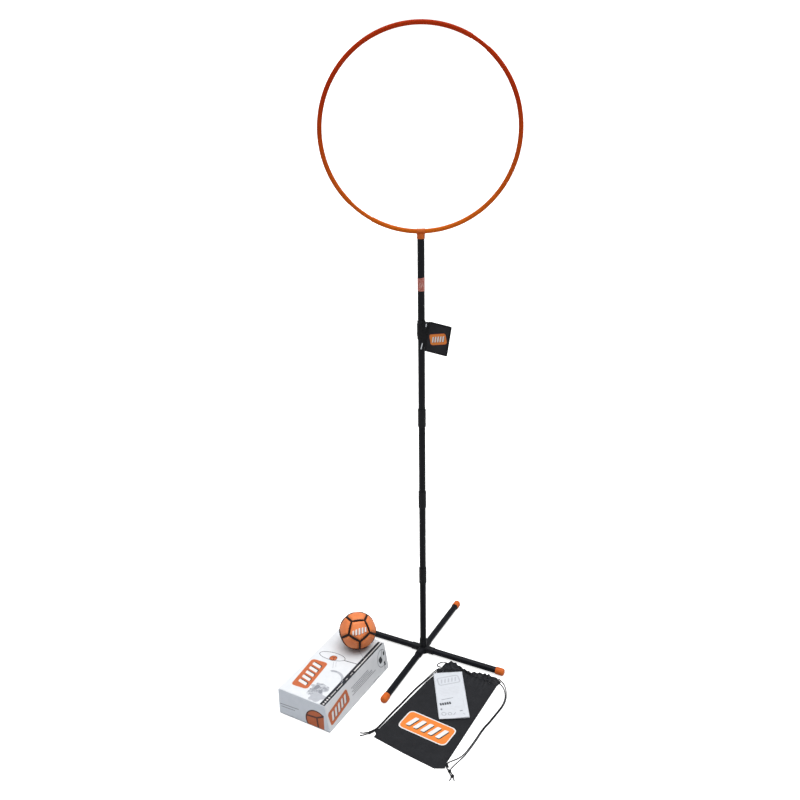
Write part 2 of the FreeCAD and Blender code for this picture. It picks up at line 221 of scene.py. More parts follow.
CAMERA_PLACE = (-0.0699, -2.7276, 2.1001)
CAMERA_DOWN = 22.305          # degrees below the horizon
CAMERA_ROLL = -0.888          # degrees about the line of sight
CAMERA_LENS = 41.37           # millimetres on a 36 mm sensor
TENT_LIGHT = 4.0              # strength of the tent where its level is 1
# levels of the tent by height: 0 is the horizon, 1 is straight up
tent_levels = ((0.0, 0.28), (0.035, 0.28), (0.07, 0.085), (0.80, 0.12), (0.92, 1.0), (1.0, 1.0))
BACKDROP_LEVEL = 0.3          # what the camera sees of it, as pale as the floor
FLOOR_GLOW = 0.72
FLOOR_HALF = 150              # metres


def link(obj):
    bpy.context.scene.collection.objects.link(obj)
    return obj


def set_up(thing, **settings):
    for key, value in settings.items():
        setattr(thing, key, value)
    return thing


def add_node(tree, kind, inputs=None, **settings):
    """A new node; each input is another node's output or a plain value."""
    made = set_up(tree.nodes.new(kind), **settings)
    for key, value in (inputs or {}).items():
        if isinstance(value, bpy.types.NodeSocket):
            tree.links.new(value, made.inputs[key])
        else:
            made.inputs[key].default_value = value
    return made


def camera_share(tree, level):
    """The given level for what the camera sees directly, and 0 for every other ray."""
    seen = add_node(tree, "ShaderNodeLightPath").outputs["Is Camera Ray"]
    return add_node(tree, "ShaderNodeMath", {0: seen, 1: level}, operation="MULTIPLY").outputs[0]


def add_camera():
    data = bpy.data.cameras.new("camera")
    data.sensor_width = 36
    data.lens = CAMERA_LENS
    camera = link(bpy.data.objects.new("camera", data))
    tilt = Matrix.Rotation(math.radians(90 - CAMERA_DOWN), 4, "X")
    roll = Matrix.Rotation(math.radians(CAMERA_ROLL), 4, "Z")
    camera.matrix_world = Matrix.Translation(CAMERA_PLACE) @ tilt @ roll
    bpy.context.scene.camera = camera


def add_studio():
    """A tent of soft light, bright overhead and dimmer to the sides, a sun and a floor."""
    world = bpy.data.worlds.new("studio")
    world.use_nodes = True
    tree = world.node_tree
    place = add_node(tree, "ShaderNodeTexCoord").outputs["Generated"]
    height = add_node(tree, "ShaderNodeSeparateXYZ", {"Vector": place}).outputs["Z"]
    ramp = add_node(tree, "ShaderNodeValToRGB", {"Fac": height})
    stops = ramp.color_ramp.elements
    for position, level in tent_levels:
        stop = stops[0] if position == 0 else stops[-1] if position == 1 else stops.new(position)
        stop.position = position
        stop.color = (level, level, level, 1)
    shown = add_node(tree, "ShaderNodeMath", {0: ramp.outputs["Color"],
                                              1: camera_share(tree, BACKDROP_LEVEL)},
                     operation="MAXIMUM")
    background = tree.nodes["Background"]
    tree.links.new(shown.outputs[0], background.inputs["Color"])
    background.inputs["Strength"].default_value = TENT_LIGHT
    bpy.context.scene.world = world
    bpy.context.scene.view_settings.view_transform = "Standard"

    data = bpy.data.lights.new("key_sun", "SUN")
    data.angle = math.radians(35)
    data.energy = 1.1
    lamp = link(bpy.data.objects.new("key_sun", data))
    lamp.rotation_euler = Vector((-0.35, 0.1, -1)).to_track_quat("-Z", "Y").to_euler()

    floor = link(bpy.data.objects.new("floor", square_mesh("floor", FLOOR_HALF)))
    floor.data.materials.append(floor_material())
    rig.stage(floor)


def square_mesh(name, half):
    mesh = bpy.data.meshes.new(name)
    mesh.from_pydata([(-half, -half, 0), (half, -half, 0), (half, half, 0), (-half, half, 0)],
                     [], [(0, 1, 2, 3)])
    return mesh


# ---- materials ----------------------------------------------------------------------


class Finish:
    """A Principled material whose colour, roughness and bump come from procedural nodes."""

    def __init__(self, name, gloss=0.3):
        self.material = bpy.data.materials.new(name)
        self.material.use_nodes = True
        self.tree = self.material.node_tree
        self.shader = self.tree.nodes["Principled BSDF"]
        self.shader.inputs["Specular IOR Level"].default_value = gloss
        self.place = self.node("ShaderNodeTexCoord").outputs["Object"]

    def node(self, kind, inputs=None, **settings):
        return add_node(self.tree, kind, inputs, **settings)

    def noise(self, size, detail=3.0, stretch=(1, 1, 1)):
        """Noise whose blotches are about size metres across, stretched along an axis."""
        scaled = self.node("ShaderNodeMapping", {"Vector": self.place, "Scale": stretch})
        return self.node("ShaderNodeTexNoise", {"Vector": scaled.outputs[0], "Scale": 1 / size,
                                                "Detail": detail}).outputs["Fac"]

    def waves(self, pitch, direction, turn):
        place = self.node("ShaderNodeMapping", {"Vector": self.place, "Rotation": turn})
        return self.node("ShaderNodeTexWave", {"Vector": place.outputs[0], "Scale": 0.314 / pitch},
                         bands_direction=direction).outputs["Fac"]

    def spread(self, value, low, high, start=0.3, end=0.7):
        """A value that runs from start to end, mapped to low to high."""
        return self.node("ShaderNodeMapRange", {"Value": value, "From Min": start, "From Max": end,
                                                "To Min": low, "To Max": high}).outputs["Result"]

    def mix(self, factor, first, second):
        """A blend of two colours, each a socket or a plain (red, green, blue)."""
        first, second = ((*c, 1) if isinstance(c, tuple) else c for c in (first, second))
        return self.node("ShaderNodeMix", {0: factor, 6: first, 7: second},
                         data_type="RGBA").outputs[2]

    def cloudy(self, size, dark, light):
        return self.mix(self.spread(self.noise(size), 0, 1), dark, light)

    def product(self, first, second):
        return self.node("ShaderNodeMath", {0: first, 1: second},
                         operation="MULTIPLY").outputs[0]

    def bump(self, height, depth, **under):
        """The surface's normal over a relief of some depth, perhaps on top of another one."""
        return self.node("ShaderNodeBump", {"Height": height, "Distance": depth,
                                            **under}).outputs["Normal"]

    def finished(self, colour, roughness, normal):
        for socket, source in (("Base Color", colour), ("Roughness", roughness),
                               ("Normal", normal)):
            self.tree.links.new(source, self.shader.inputs[socket])
        return self.material


def plain_finish(name, dark, light, mottle, rough, grain, depth, gloss=0.3, detail=4):
    """Two close shades in soft blotches, and a fine grain in roughness and bump."""
    finish = Finish(name, gloss)
    grains = finish.noise(grain, detail)
    return finish.finished(finish.cloudy(mottle, dark, light), finish.spread(grains, *rough),
                           finish.bump(grains, depth))


def woven_finish(name, dark, light, pitch, depth, axes, turn=(0, 0, 0), crease=0.012,
                 crease_depth=0.0004, rough=(0.55, 0.75)):
    """Plain weave: two crossed sets of threads, over soft creases."""
    finish = Finish(name, 0.14)
    threads = finish.product(*(finish.waves(pitch, axis, turn) for axis in axes))
    lit = tuple(min(1, 1.35 * channel) for channel in light)
    creases = finish.noise(crease, 2)
    return finish.finished(
        finish.mix(finish.product(threads, 0.5), finish.cloudy(0.03, dark, light), lit),
        finish.spread(creases, *rough),
        finish.bump(threads, depth, Normal=finish.bump(creases, crease_depth)))


def board_finish(name, dark, light):
    """Coated board: faint fibre clouding and a soft sheen."""
    return plain_finish(name, dark, light, 0.02, (0.38, 0.55), 0.0012, 0.00003, detail=5)


def floor_material():
    """White paper that glows a little towards the camera, so shadows on it stay faint."""
    paper = plain_finish("floor_paper", (0.56, 0.56, 0.565), (0.58, 0.58, 0.585), 0.6,
                         (0.7, 0.8), 0.01, 0.00002)
    tree = paper.node_tree
    tree.links.new(camera_share(tree, FLOOR_GLOW),
                   tree.nodes["Principled BSDF"].inputs["Emission Strength"])
    return paper


def tube_material():
    """Satin black paint on metal tube, with drawn streaks along Z and a few dull patches."""
    finish = Finish("tube_paint", 0.11)
    streaks = finish.noise(0.004, 4, (1, 1, 0.06))
    return finish.finished(
        finish.cloudy(0.05, (0.0042, 0.0046, 0.0066), (0.0064, 0.0070, 0.0098)),
        finish.spread(streaks, 0.26, 0.42), finish.bump(finish.noise(0.0016, 2), 0.00004))


def hoop_material():
    """Extruded orange tube, deeper in shade towards the top: painted light and shade, lighter towards the bottom and
    darker towards the top.
    """
    finish = Finish("hoop_plastic_painted_shade", 0.035)
    low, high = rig.box("hoop_section_4")[0].z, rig.box("hoop_section_2")[1].z
    height = finish.node("ShaderNodeSeparateXYZ", {"Vector": finish.place}).outputs["Z"]
    # painted light and shade: the lower orange is painted lighter for bounce light from the floor, the upper orange
    # darker for painted shade
    rise = finish.spread(height, 0, 1, low, 0.35 * low + 0.65 * high)
    lower = finish.cloudy(0.04, (0.50, 0.106, 0.007), (0.45, 0.090, 0.006))
    upper = finish.cloudy(0.04, (0.345, 0.027, 0.003), (0.31, 0.022, 0.002))
    ripples = finish.noise(0.003, 3)
    return finish.finished(finish.mix(rise, lower, upper), finish.spread(ripples, 0.46, 0.60),
                           finish.bump(ripples, 0.00005))


def leather_material():
    """Soft synthetic leather: pebbled grain and a slow change of shade."""
    finish = Finish("ball_leather")
    pebbles = finish.node("ShaderNodeTexVoronoi", {"Vector": finish.place, "Scale": 1 / 0.0012})
    return finish.finished(finish.cloudy(0.03, (0.58, 0.152, 0.045), (0.66, 0.197, 0.061)),
                           finish.spread(finish.noise(0.004), 0.42, 0.60),
                           finish.bump(pebbles.outputs["Distance"], 0.00008))


materials = {
    "tube_black": tube_material(),
    "hoop_orange": hoop_material(),
    "ball_panel": leather_material(),
    "carton_board": board_finish("carton_board", (0.55, 0.57, 0.595), (0.585, 0.60, 0.625)),
    "webbing_black": woven_finish("webbing", (0.004, 0.0045, 0.0055), (0.007, 0.0075, 0.009),
                                  0.0011, 0.00018, ("X", "Z")),
    "tag_cloth": woven_finish("tag_cloth", (0.010, 0.0102, 0.0122), (0.0165, 0.0165, 0.0195),
                              0.0008, 0.00012, ("X", "Z"), (0, math.radians(8.9), 0)),
    "bag_cloth": woven_finish("bag_nylon", (0.0075, 0.0082, 0.0100), (0.0115, 0.0122, 0.0145),
                              0.0009, 0.00009, ("X", "Y"), (0, 0, math.radians(32)),
                              0.02, 0.0009, (0.42, 0.60)),
    "cord_black": woven_finish("cord_braid", (0.006, 0.0065, 0.008), (0.011, 0.0115, 0.014),
                               0.0011, 0.0003, ("DIAGONAL", "X"), (0, 0, 0), 0.004, 0.0001),
}
# slot, material, dark and light shade, size of blotches, roughness, grain, relief, gloss
for slot, *finish in (
        ("moulding_black", "hub_plastic", (0.0040, 0.0046, 0.0060), (0.0062, 0.0070, 0.0090),
         0.02, (0.40, 0.56), 0.0007, 0.00005, 0.16),
        ("moulding_orange", "cap_plastic", (0.42, 0.082, 0.011), (0.49, 0.108, 0.016),
         0.02, (0.40, 0.54), 0.0008, 0.00004, 0.16),
        ("label", "label_paper", (0.26, 0.050, 0.030), (0.46, 0.19, 0.16),
         0.005, (0.4, 0.55), 0.001, 0.00002),
        ("tie_white", "tie_plastic", (0.56, 0.58, 0.62), (0.62, 0.64, 0.67),
         0.004, (0.35, 0.5), 0.0008, 0.00003),
        ("ball_seam", "seam_rubber", (0.011, 0.0035, 0.002), (0.020, 0.0065, 0.004),
         0.006, (0.5, 0.7), 0.0006, 0.00006, 0.2),
        ("ball_valve", "valve_rubber", (0.012, 0.008, 0.007), (0.018, 0.012, 0.010),
         0.002, (0.45, 0.6), 0.0004, 0.00003, 0.2),
        ("leaflet_paper", "leaflet_paper", (0.46, 0.48, 0.515), (0.49, 0.51, 0.545),
         0.01, (0.55, 0.7), 0.0009, 0.00002)):
    materials[slot] = plain_finish(*finish)

inks = {
    "paper": materials["leaflet_paper"],
    "mottled_grey": plain_finish("ink_mottled_grey", (0.17, 0.18, 0.205), (0.50, 0.52, 0.555),
                                 0.011, (0.45, 0.55), 0.001, 0.00001),
}
for colour, shade in (("white", (0.60, 0.59, 0.585)), ("black", (0.012, 0.014, 0.020)),
                      ("orange", (0.43, 0.105, 0.035)), ("bright_orange", (0.62, 0.175, 0.025)),
                      ("brown", (0.070, 0.022, 0.014)), ("dark_grey", (0.055, 0.058, 0.068)),
                      ("grey", (0.20, 0.21, 0.24)), ("pale_grey", (0.36, 0.375, 0.41)),
                      ("light_grey", (0.44, 0.455, 0.49)), ("pale_pink", (0.46, 0.26, 0.24))):
    inks[colour] = plain_finish("ink_" + colour, tuple(0.93 * c for c in shade), shade, 0.01,
                                (0.34, 0.46) if colour == "black" else (0.44, 0.56),
                                0.001, 0.00001)

# ---- pieces -------------------------------------------------------------------------

# A skin is a pair: points, in metres in the row frame, and faces.


def add_piece(name, data, body, slot, stands_for=(), material=None):
    """A mesh or curve as a piece that rides on a body and may replace CAD nodes."""
    obj = link(bpy.data.objects.new(name, data))
    data.materials.append(material or materials[slot])
    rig.ride(obj, body)
    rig.slot(obj, slot)
    if stands_for:
        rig.replaces(obj, *stands_for)
    return obj


def piece(name, skin, body, slot, stands_for=(), material=None, smooth=True):
    mesh = bpy.data.meshes.new(name)
    mesh.from_pydata([tuple(point) for point in skin[0]], [], skin[1])
    mesh.validate()
    builder = bmesh.new()
    builder.from_mesh(mesh)
    bmesh.ops.remove_doubles(builder, verts=builder.verts, dist=1e-7)
    bmesh.ops.recalc_face_normals(builder, faces=builder.faces)
    builder.to_mesh(mesh)
    builder.free()
    for face in mesh.polygons:
        face.use_smooth = smooth
    return add_piece(name, mesh, body, slot, stands_for, material)


def add_modifier(obj, kind, **settings):
    set_up(obj.modifiers.new(kind.lower(), kind), **settings)


def subdivide(obj):
    add_modifier(obj, "SUBSURF", levels=1, render_levels=1)


def loft(rings, closed_ends=True):
    """A skin over rings that all have the same number of points."""
    count = len(rings[0])
    faces = [(row * count + i, row * count + (i + 1) % count,
              (row + 1) * count + (i + 1) % count, (row + 1) * count + i)
             for row in range(len(rings) - 1) for i in range(count)]
    if closed_ends:
        faces.append(tuple(range(count))[::-1])
        faces.append(tuple(range((len(rings) - 1) * count, len(rings) * count)))
    return [point for ring in rings for point in ring], faces


def joined(skins):
    """Several closed skins as one."""
    points, faces = [], []
    for more_points, more_faces in skins:
        start = len(points)
        points += more_points
        faces += [tuple(start + i for i in face) for face in more_faces]
    return points, faces


def grid_faces(columns, rows):
    wide = columns + 1
    return [(j * wide + i, j * wide + i + 1, (j + 1) * wide + i + 1, (j + 1) * wide + i)
            for j in range(rows) for i in range(columns)]


def doubled(faces, rim, layer):
    """Faces of a layer, of the layer of points under it, and of the rim between them."""
    under = [tuple(k + layer for k in reversed(face)) for face in faces]
    return faces + under + [(a, a + layer, b + layer, b) for a, b in pairs(rim)]


def two_sided(columns, rows, place):
    """A sheet's skin: front, back and rim; place(u, v, front) gives a point, u and v 0 to 1."""
    points = [place(i / columns, j / rows, front) for front in (True, False)
              for j in range(rows + 1) for i in range(columns + 1)]
    wide = columns + 1
    rim = list(range(wide)) + [j * wide + columns for j in range(1, rows + 1)]
    rim += [rows * wide + i for i in range(columns - 1, -1, -1)]
    rim += [j * wide for j in range(rows - 1, 0, -1)]
    return points, doubled(grid_faces(columns, rows), rim, wide * (rows + 1))


def tube(path, radius, sides, closed=False):
    """A round skin along a path."""
    rings, side, last = [], None, len(path) - 1
    for i, place in enumerate(path):
        before = path[i - 1] if i or closed else path[0]
        after = path[(i + 1) % len(path)] if i < last or closed else path[-1]
        along = (after - before).normalized()
        if side is None:
            side = along.orthogonal().normalized()
        side = (side - along * side.dot(along)).normalized()
        up = along.cross(side)
        rings.append([place + around(side, up, turn) * radius for turn in circle(sides)])
    return loft(rings + rings[:1], False) if closed else loft(rings)


# ---- cords --------------------------------------------------------------------------

CORD_DIAMETER = 0.0036
CORD_Z = 1.9                  # a cord's middle when it lies on the floor, in millimetres

# the routes, in millimetres, from the bag's mouth to the knots, and out to the bare ends;
# a place without a height lies on the floor
cord_routes = {
    "mouth_turn": [(90, -86, 9), (78, -76, 7.5), (64, -69.5, 4.5), (52, -73), (46, -82, 2),
                   (50, -92, 3), (60, -97, 4.5)],
    "cord_left_outer": [(52, -103, 4), (37, -114, 3.4), (19, -139.5, 2.6), (-0.5, -164),
                        (-27, -196), (-56, -236.5), (-83, -278), (-110, -314.5), (-131, -347),
                        (-148.5, -373), (-164, -396, 2.6), (-180, -411, 4)],
    "cord_left_inner": [(52, -112, 3.6), (38, -123, 3.2), (22.5, -142.5, 2.4), (2.7, -166.4),
                        (-23.8, -198.3), (-52.8, -238.7), (-79.8, -280.2), (-106.8, -316.8),
                        (-127.8, -349.2), (-145.5, -376), (-163, -401.5, 2.6), (-180, -415, 4)],
    "cord_right_outer": [(255, -168, 7), (268, -181, 3.4), (274, -205), (273.5, -236),
                         (269, -268), (255, -300), (232, -334), (207, -371), (180, -406),
                         (157, -448), (134, -486), (113, -518), (90, -543), (70, -566),
                         (63, -579, 4)],
    "cord_right_inner": [(249, -180, 5), (260, -190), (268, -211), (269.5, -237.5),
                         (265.2, -266.4), (251.9, -297.6), (228.9, -331.6), (203.9, -368.6),
                         (176.7, -403.8), (153.7, -445.6), (130.7, -483.6), (109.6, -514.8),
                         (89, -531), (68, -540), (54, -551, 2.6), (53, -566, 4), (59, -578, 4)],
    "tail_left_outer": [(-183, -412, 4.4), (-193, -410.5, 3), (-204, -414), (-215, -410)],
    "tail_left_inner": [(-183, -416, 3.4), (-193, -417, 2.6), (-204, -422), (-215, -424)],
    "tail_right_outer": [(64, -583, 4), (68.5, -591, 3.5), (73, -600, 3.6), (72, -609),
                         (75, -618)],
    "tail_right_inner": [(60, -583, 4), (63, -592, 3.2), (67, -601, 3.6), (65, -610),
                         (60, -617)],
}


def cord_curve(name, route):
    curve = bpy.data.curves.new(name, "CURVE")
    curve.dimensions = "3D"
    spline = curve.splines.new("NURBS")
    spline.points.add(len(route) - 1)
    for point, place in zip(spline.points, route):
        point.co = (*place, 1)
    spline.order_u = 3
    spline.use_endpoint_u = True
    spline.resolution_u = 8
    curve.bevel_depth = CORD_DIAMETER / 2
    curve.bevel_resolution = 3
    curve.use_fill_caps = True
    return add_piece(name + "_line", curve, "bag", "cord_black", [name])


def curve_length(line):
    """The measured length of the smooth line, in metres."""
    bare = line.data.copy()
    bare.bevel_depth = 0
    probe = link(bpy.data.objects.new("probe", bare))
    mesh = bpy.data.meshes.new_from_object(probe)
    places = [vertex.co.copy() for vertex in mesh.vertices]
    bpy.data.objects.remove(probe)
    bpy.data.meshes.remove(mesh)
    return sum((b - a).length for a, b in zip(places, places[1:]))


def add_cords(knots):
    """Each cord runs from the bag to a knot; a tail runs from a knot to a bare end."""
    for name, places in cord_routes.items():
        route = [tuple(MM * value for value in (*place, CORD_Z)[:3]) for place in places]
        line = cord_curve(name, route)
        far_end, tied = "bare", []
        if name.startswith("cord"):
            far_end, tied = "knot", [knots["knot_left" if "left" in name else "knot_right"]]
        elif name == "mouth_turn":
            far_end = "object"
        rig.cord(line, exit=route[0], length=curve_length(line), diameter=CORD_DIAMETER,
                far_end=far_end, stiffness="limp", lay="loose", with_pieces=tied)


def overhand_knot(name, node, turn):
    """A tied cord: three interlaced turns pulled into a lump."""
    low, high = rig.box(node)
    middle = (low + high) / 2
    middle.z = max(middle.z, 0.0042)
    lump = ((high.x - low.x) / 2 - 0.0008) / 3
    path = []
    for t in circle(60):
        x, y = turned(math.sin(t) + 2 * math.sin(2 * t), math.cos(t) - 2 * math.cos(2 * t), turn)
        path.append(middle + Vector((x * lump, y * lump, -math.sin(3 * t) * 0.0017)))
    return piece(name, tube(path, 0.0021, 10, True), "bag", "cord_black", [node])


def corner_tab(name, node, x, y, turn):
    """A short webbing tape folded over the cord and sewn flat."""
    fold = [math.pi / 2 + math.pi * k / 12 for k in range(13)]
    profile = [(8, 3.1), (4, 3.3), (0, 4.2)]
    profile += [(-5.6 + 2.1 * math.cos(bend), 2.6 + 1.9 * math.sin(bend)) for bend in fold]
    profile += [(0, 0.9), (4, 1.4), (8, 1.8)]
    rings = []
    for along, high in profile:
        ring = []
        for across, lift in ((-4.5, -0.3), (0, -0.38), (4.5, -0.3), (4.5, 0.3), (0, 0.38),
                             (-4.5, 0.3)):
            ring.append(Vector((*turned(along, across, math.radians(turn), (x, y)),
                                max(0.15, high + lift))) * MM)
        rings.append(ring)
    subdivide(piece(name, loft(rings), "bag", "webbing_black", [node]))


def add_knots():
    knots = {"knot_left": overhand_knot("left_knot", "knot_left", 0.4),
             "knot_right": overhand_knot("right_knot", "knot_right", 1.2)}
    overhand_knot("right_end_knot", "knot_right_end", 2.0)
    corner_tab("left_corner_tab", "corner_loop_left", -172, -404, 40)
    corner_tab("right_corner_tab", "corner_loop_right", 56, -558, 100)
    return knots


# ---- prints -------------------------------------------------------------------------


def printed(name, shapes, surface, colour, lift=0.12, grain=12.0, stands_for=()):
    """Flat ink shapes, in millimetres on a surface, as one thin closed skin over it.

    A surface is (place, body, slot). place(x, y, lift) gives the point, in metres, lift
    millimetres above it."""
    place, body, slot = surface
    flat = bmesh.new()
    for shape in shapes:
        flat.faces.new([flat.verts.new((x, y, 0)) for x, y in shape])
    bmesh.ops.remove_doubles(flat, verts=flat.verts, dist=1e-4)
    for axis in (0, 1):
        low = min(vertex.co[axis] for vertex in flat.verts)
        high = max(vertex.co[axis] for vertex in flat.verts)
        normal = Vector((axis == 0, axis == 1, 0))
        for step in range(1, int((high - low) / grain) + 1):
            bmesh.ops.bisect_plane(flat, geom=flat.verts[:] + flat.edges[:] + flat.faces[:],
                                   plane_co=normal * (low + step * grain), plane_no=normal)
    bmesh.ops.triangulate(flat, faces=[face for face in flat.faces if len(face.verts) > 4])
    flat.verts.index_update()
    count = len(flat.verts)
    points = [place(vertex.co.x, vertex.co.y, height) for height in (lift, 0.02)
              for vertex in flat.verts]
    faces = []
    for face in flat.faces:
        ring = [vertex.index for vertex in face.verts]
        faces += [tuple(ring), tuple(i + count for i in reversed(ring))]
    for edge in flat.edges:
        if len(edge.link_faces) == 1:
            a, b = (vertex.index for vertex in edge.verts)
            faces.append((a, b, b + count, a + count))
    flat.free()
    return piece(name, (points, faces), body, slot, stands_for, inks[colour], smooth=False)


def placed(x, y, corners, turn=0.0, slant=0.0):
    """Corners of a shape leant by slant, turned by degrees and moved to a middle point."""
    return [turned(u + slant * v, v, math.radians(turn), (x, y)) for u, v in corners]


def box_shape(x, y, width, height, turn=0.0):
    return placed(x, y, [(a * width / 2, b * height / 2)
                         for a, b in ((-1, -1), (1, -1), (1, 1), (-1, 1))], turn)


def round_shape(x, y, width, height, radius, turn=0.0, slant=0.0):
    corners = []
    for a, b, first in ((1, 1, 0), (-1, 1, 90), (-1, -1, 180), (1, -1, 270)):
        for step in range(5):
            angle = math.radians(first + 22.5 * step)
            corners.append((a * (width / 2 - radius) + radius * math.cos(angle),
                            b * (height / 2 - radius) + radius * math.sin(angle)))
    return placed(x, y, corners, turn, slant)


def ring_shapes(x, y, across, along, width, start=0, end=360, turn=0.0, steps=40):
    """A ring, an ellipse line or an arc of one, as a row of small quads."""
    def corner(k, grow):
        angle = math.radians(start + (end - start) * k / steps)
        return (across + grow) * math.cos(angle), (along + grow) * math.sin(angle)

    half = width / 2
    return [placed(x, y, [corner(k, -half), corner(k + 1, -half), corner(k + 1, half),
                          corner(k, half)], turn) for k in range(steps)]


def line_shape(x1, y1, x2, y2, width):
    return box_shape((x1 + x2) / 2, (y1 + y2) / 2, math.hypot(x2 - x1, y2 - y1), width,
                     math.degrees(math.atan2(y2 - y1, x2 - x1)))


def badge(name, x, y, width, height, turn, surface, border="white", field="orange",
          stands_for=(), lift=0.12, grain=12.0):
    """A plain round-cornered sign: a border, a field, and five slanting bars."""
    edge = 0.045 * width
    printed(name + "_border", [round_shape(x, y, width, height, 0.2 * height, turn)], surface,
            border, lift, grain, stands_for)
    printed(name + "_field", [round_shape(x, y, width - edge, height - edge, 0.17 * height,
                                          turn)], surface, field, lift + 0.06, grain)
    for part, colour, shift, rise in (("shadow", "black", 0.018 * width, 0.12),
                                      ("bars", "white", 0, 0.18)):
        middles = placed(x, y, [((k - 2) * 0.155 * width + shift, -shift) for k in range(5)],
                         turn)
        printed(f"{name}_{part}", [round_shape(*middle, 0.085 * width, 0.5 * height,
                                               0.02 * width, turn, 0.3) for middle in middles],
                surface, colour, lift + rise, grain)


# ---- ball ---------------------------------------------------------------------------

BALL_FACING = Vector((0.132, -0.779, 0.613)).normalized()
BALL_TURN = -1                # degrees
SEAM_HALF = 0.0050            # half the width of the gap between two panels
SEAM_STEPS = 44
PANEL_ROWS = 16               # rows of triangles from a panel's middle to its rim


class Ball:
    """Twelve stuffed pentagons round a core, with a dark piping in every seam."""

    def __init__(self):
        low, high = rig.box("ball_carcass")
        self.middle = (low + high) / 2
        self.core = (high.x - low.x) / 2
        side = Vector((0, 0, 1)).cross(BALL_FACING).normalized()
        down = side.cross(BALL_FACING).normalized()
        corner = around(down, side, math.radians(BALL_TURN))
        across = BALL_FACING.cross(corner)
        belt = math.atan(2)
        self.normals = [BALL_FACING]
        for polar, offset in ((belt, 36), (math.pi - belt, 0)):
            for step in range(5):
                level = around(corner, across, math.radians(offset + 72 * step))
                self.normals.append(around(BALL_FACING, level, polar))
        self.normals.append(-BALL_FACING)

    def corners(self, normal):
        near = [other for other in self.normals if 0.2 < normal.dot(other) < 0.9]
        first = near[0] - normal * normal.dot(near[0])
        second = normal.cross(first)
        near.sort(key=lambda other: math.atan2(other.dot(second), other.dot(first)))
        return [(normal + a + b).normalized() for a, b in pairs(near)]

    def surface(self, normal, corners, towards):
        """The point of one panel's leather in a direction from the ball's middle."""
        def distance(seam):
            return abs(towards.dot(seam[0].cross(seam[1]).normalized())) * self.core

        a, b = nearest = min(pairs(corners), key=distance)
        free = max(0.0, distance(nearest) - SEAM_HALF)
        along = towards.dot((b - a).normalized()) * self.core
        radius = (self.core + 0.0030) * (0.62 * 0.915 / towards.dot(normal) + 0.38)
        radius -= 0.0046 * max(0.0, 1 - free / 0.0075) ** 2.2
        pucker = 0.5 + 0.5 * math.cos(math.tau * along / 0.0068 + 2 * noise.noise(towards * 9))
        radius -= 0.0006 * pucker * math.exp(-free / 0.0045)
        radius += 0.0007 * noise.noise(towards * 3.1)
        return self.middle + towards * radius

    def panel(self, normal):
        """A skin of triangles in five wedges, stuffed outside and round inside."""
        corners = self.corners(normal)
        reach = math.acos(normal.dot((corners[0] + corners[1]).normalized()))
        shrink = 1 - SEAM_HALF / self.core / math.tan(reach)
        rims = [normal.lerp(corner / corner.dot(normal), shrink) for corner in corners]
        outer, index, faces = [], {}, []

        def vertex(i, row, step):
            key = (row, (i * row + step) % (5 * row) if row else 0)
            if key not in index:
                index[key] = len(outer)
                rim = rims[i].lerp(rims[(i + 1) % 5], step / row if row else 0)
                outer.append(normal.lerp(rim, row / PANEL_ROWS).normalized())
            return index[key]

        for i in range(5):
            for row in range(PANEL_ROWS):
                for step in range(row + 1):
                    a, b = vertex(i, row, step), vertex(i, row + 1, step)
                    c = vertex(i, row + 1, step + 1)
                    faces.append((a, b, c))
                    if step < row:
                        faces.append((a, c, vertex(i, row, step + 1)))
        points = [self.surface(normal, corners, towards) for towards in outer]
        points += [self.middle + towards * (self.core + 0.0001) for towards in outer]
        rim = [index[(PANEL_ROWS, k)] for k in range(5 * PANEL_ROWS)]
        return points, doubled(faces, rim, len(outer))

    def seams(self):
        """Twisted piping along the thirty seams, with a small tuck where three meet."""
        skins, done = [], set()

        def once(make, *ends):
            key = tuple(sorted(tuple(round(value, 3) for value in end) for end in ends))
            if key not in done:
                done.add(key)
                skins.append(make(*ends))

        for corners in map(self.corners, self.normals):
            for a, b in pairs(corners):
                once(self.twisted, a, b)
            for corner in corners:
                once(self.tuck, corner)
        return joined(skins)

    def twisted(self, a, b):
        """Two strands twisted together, as a tube whose section turns along it."""
        path = [self.middle + a.lerp(b, k / SEAM_STEPS).normalized() * (self.core + 0.0006)
                for k in range(SEAM_STEPS + 1)]
        rings = []
        for k, place in enumerate(path):
            out = (place - self.middle).normalized()
            side = (path[min(k + 1, SEAM_STEPS)] - path[max(k - 1, 0)]).normalized().cross(out)
            rings.append([place + around(side, out, turn)
                          * (0.0035 + 0.0004 * math.cos(2 * turn + k * 0.75))
                          for turn in circle(12)])
        return loft(rings)

    def tuck(self, corner):
        side = corner.orthogonal().normalized()
        up = corner.cross(side)
        rings = []
        for polar in (math.pi * k / 8 for k in range(1, 8)):
            middle = self.middle + corner * (self.core + 0.0010 + 0.0024 * math.cos(polar))
            rings.append([middle + around(side, up, turn) * 0.0036 * math.sin(polar)
                          for turn in circle(14)])
        return loft(rings)


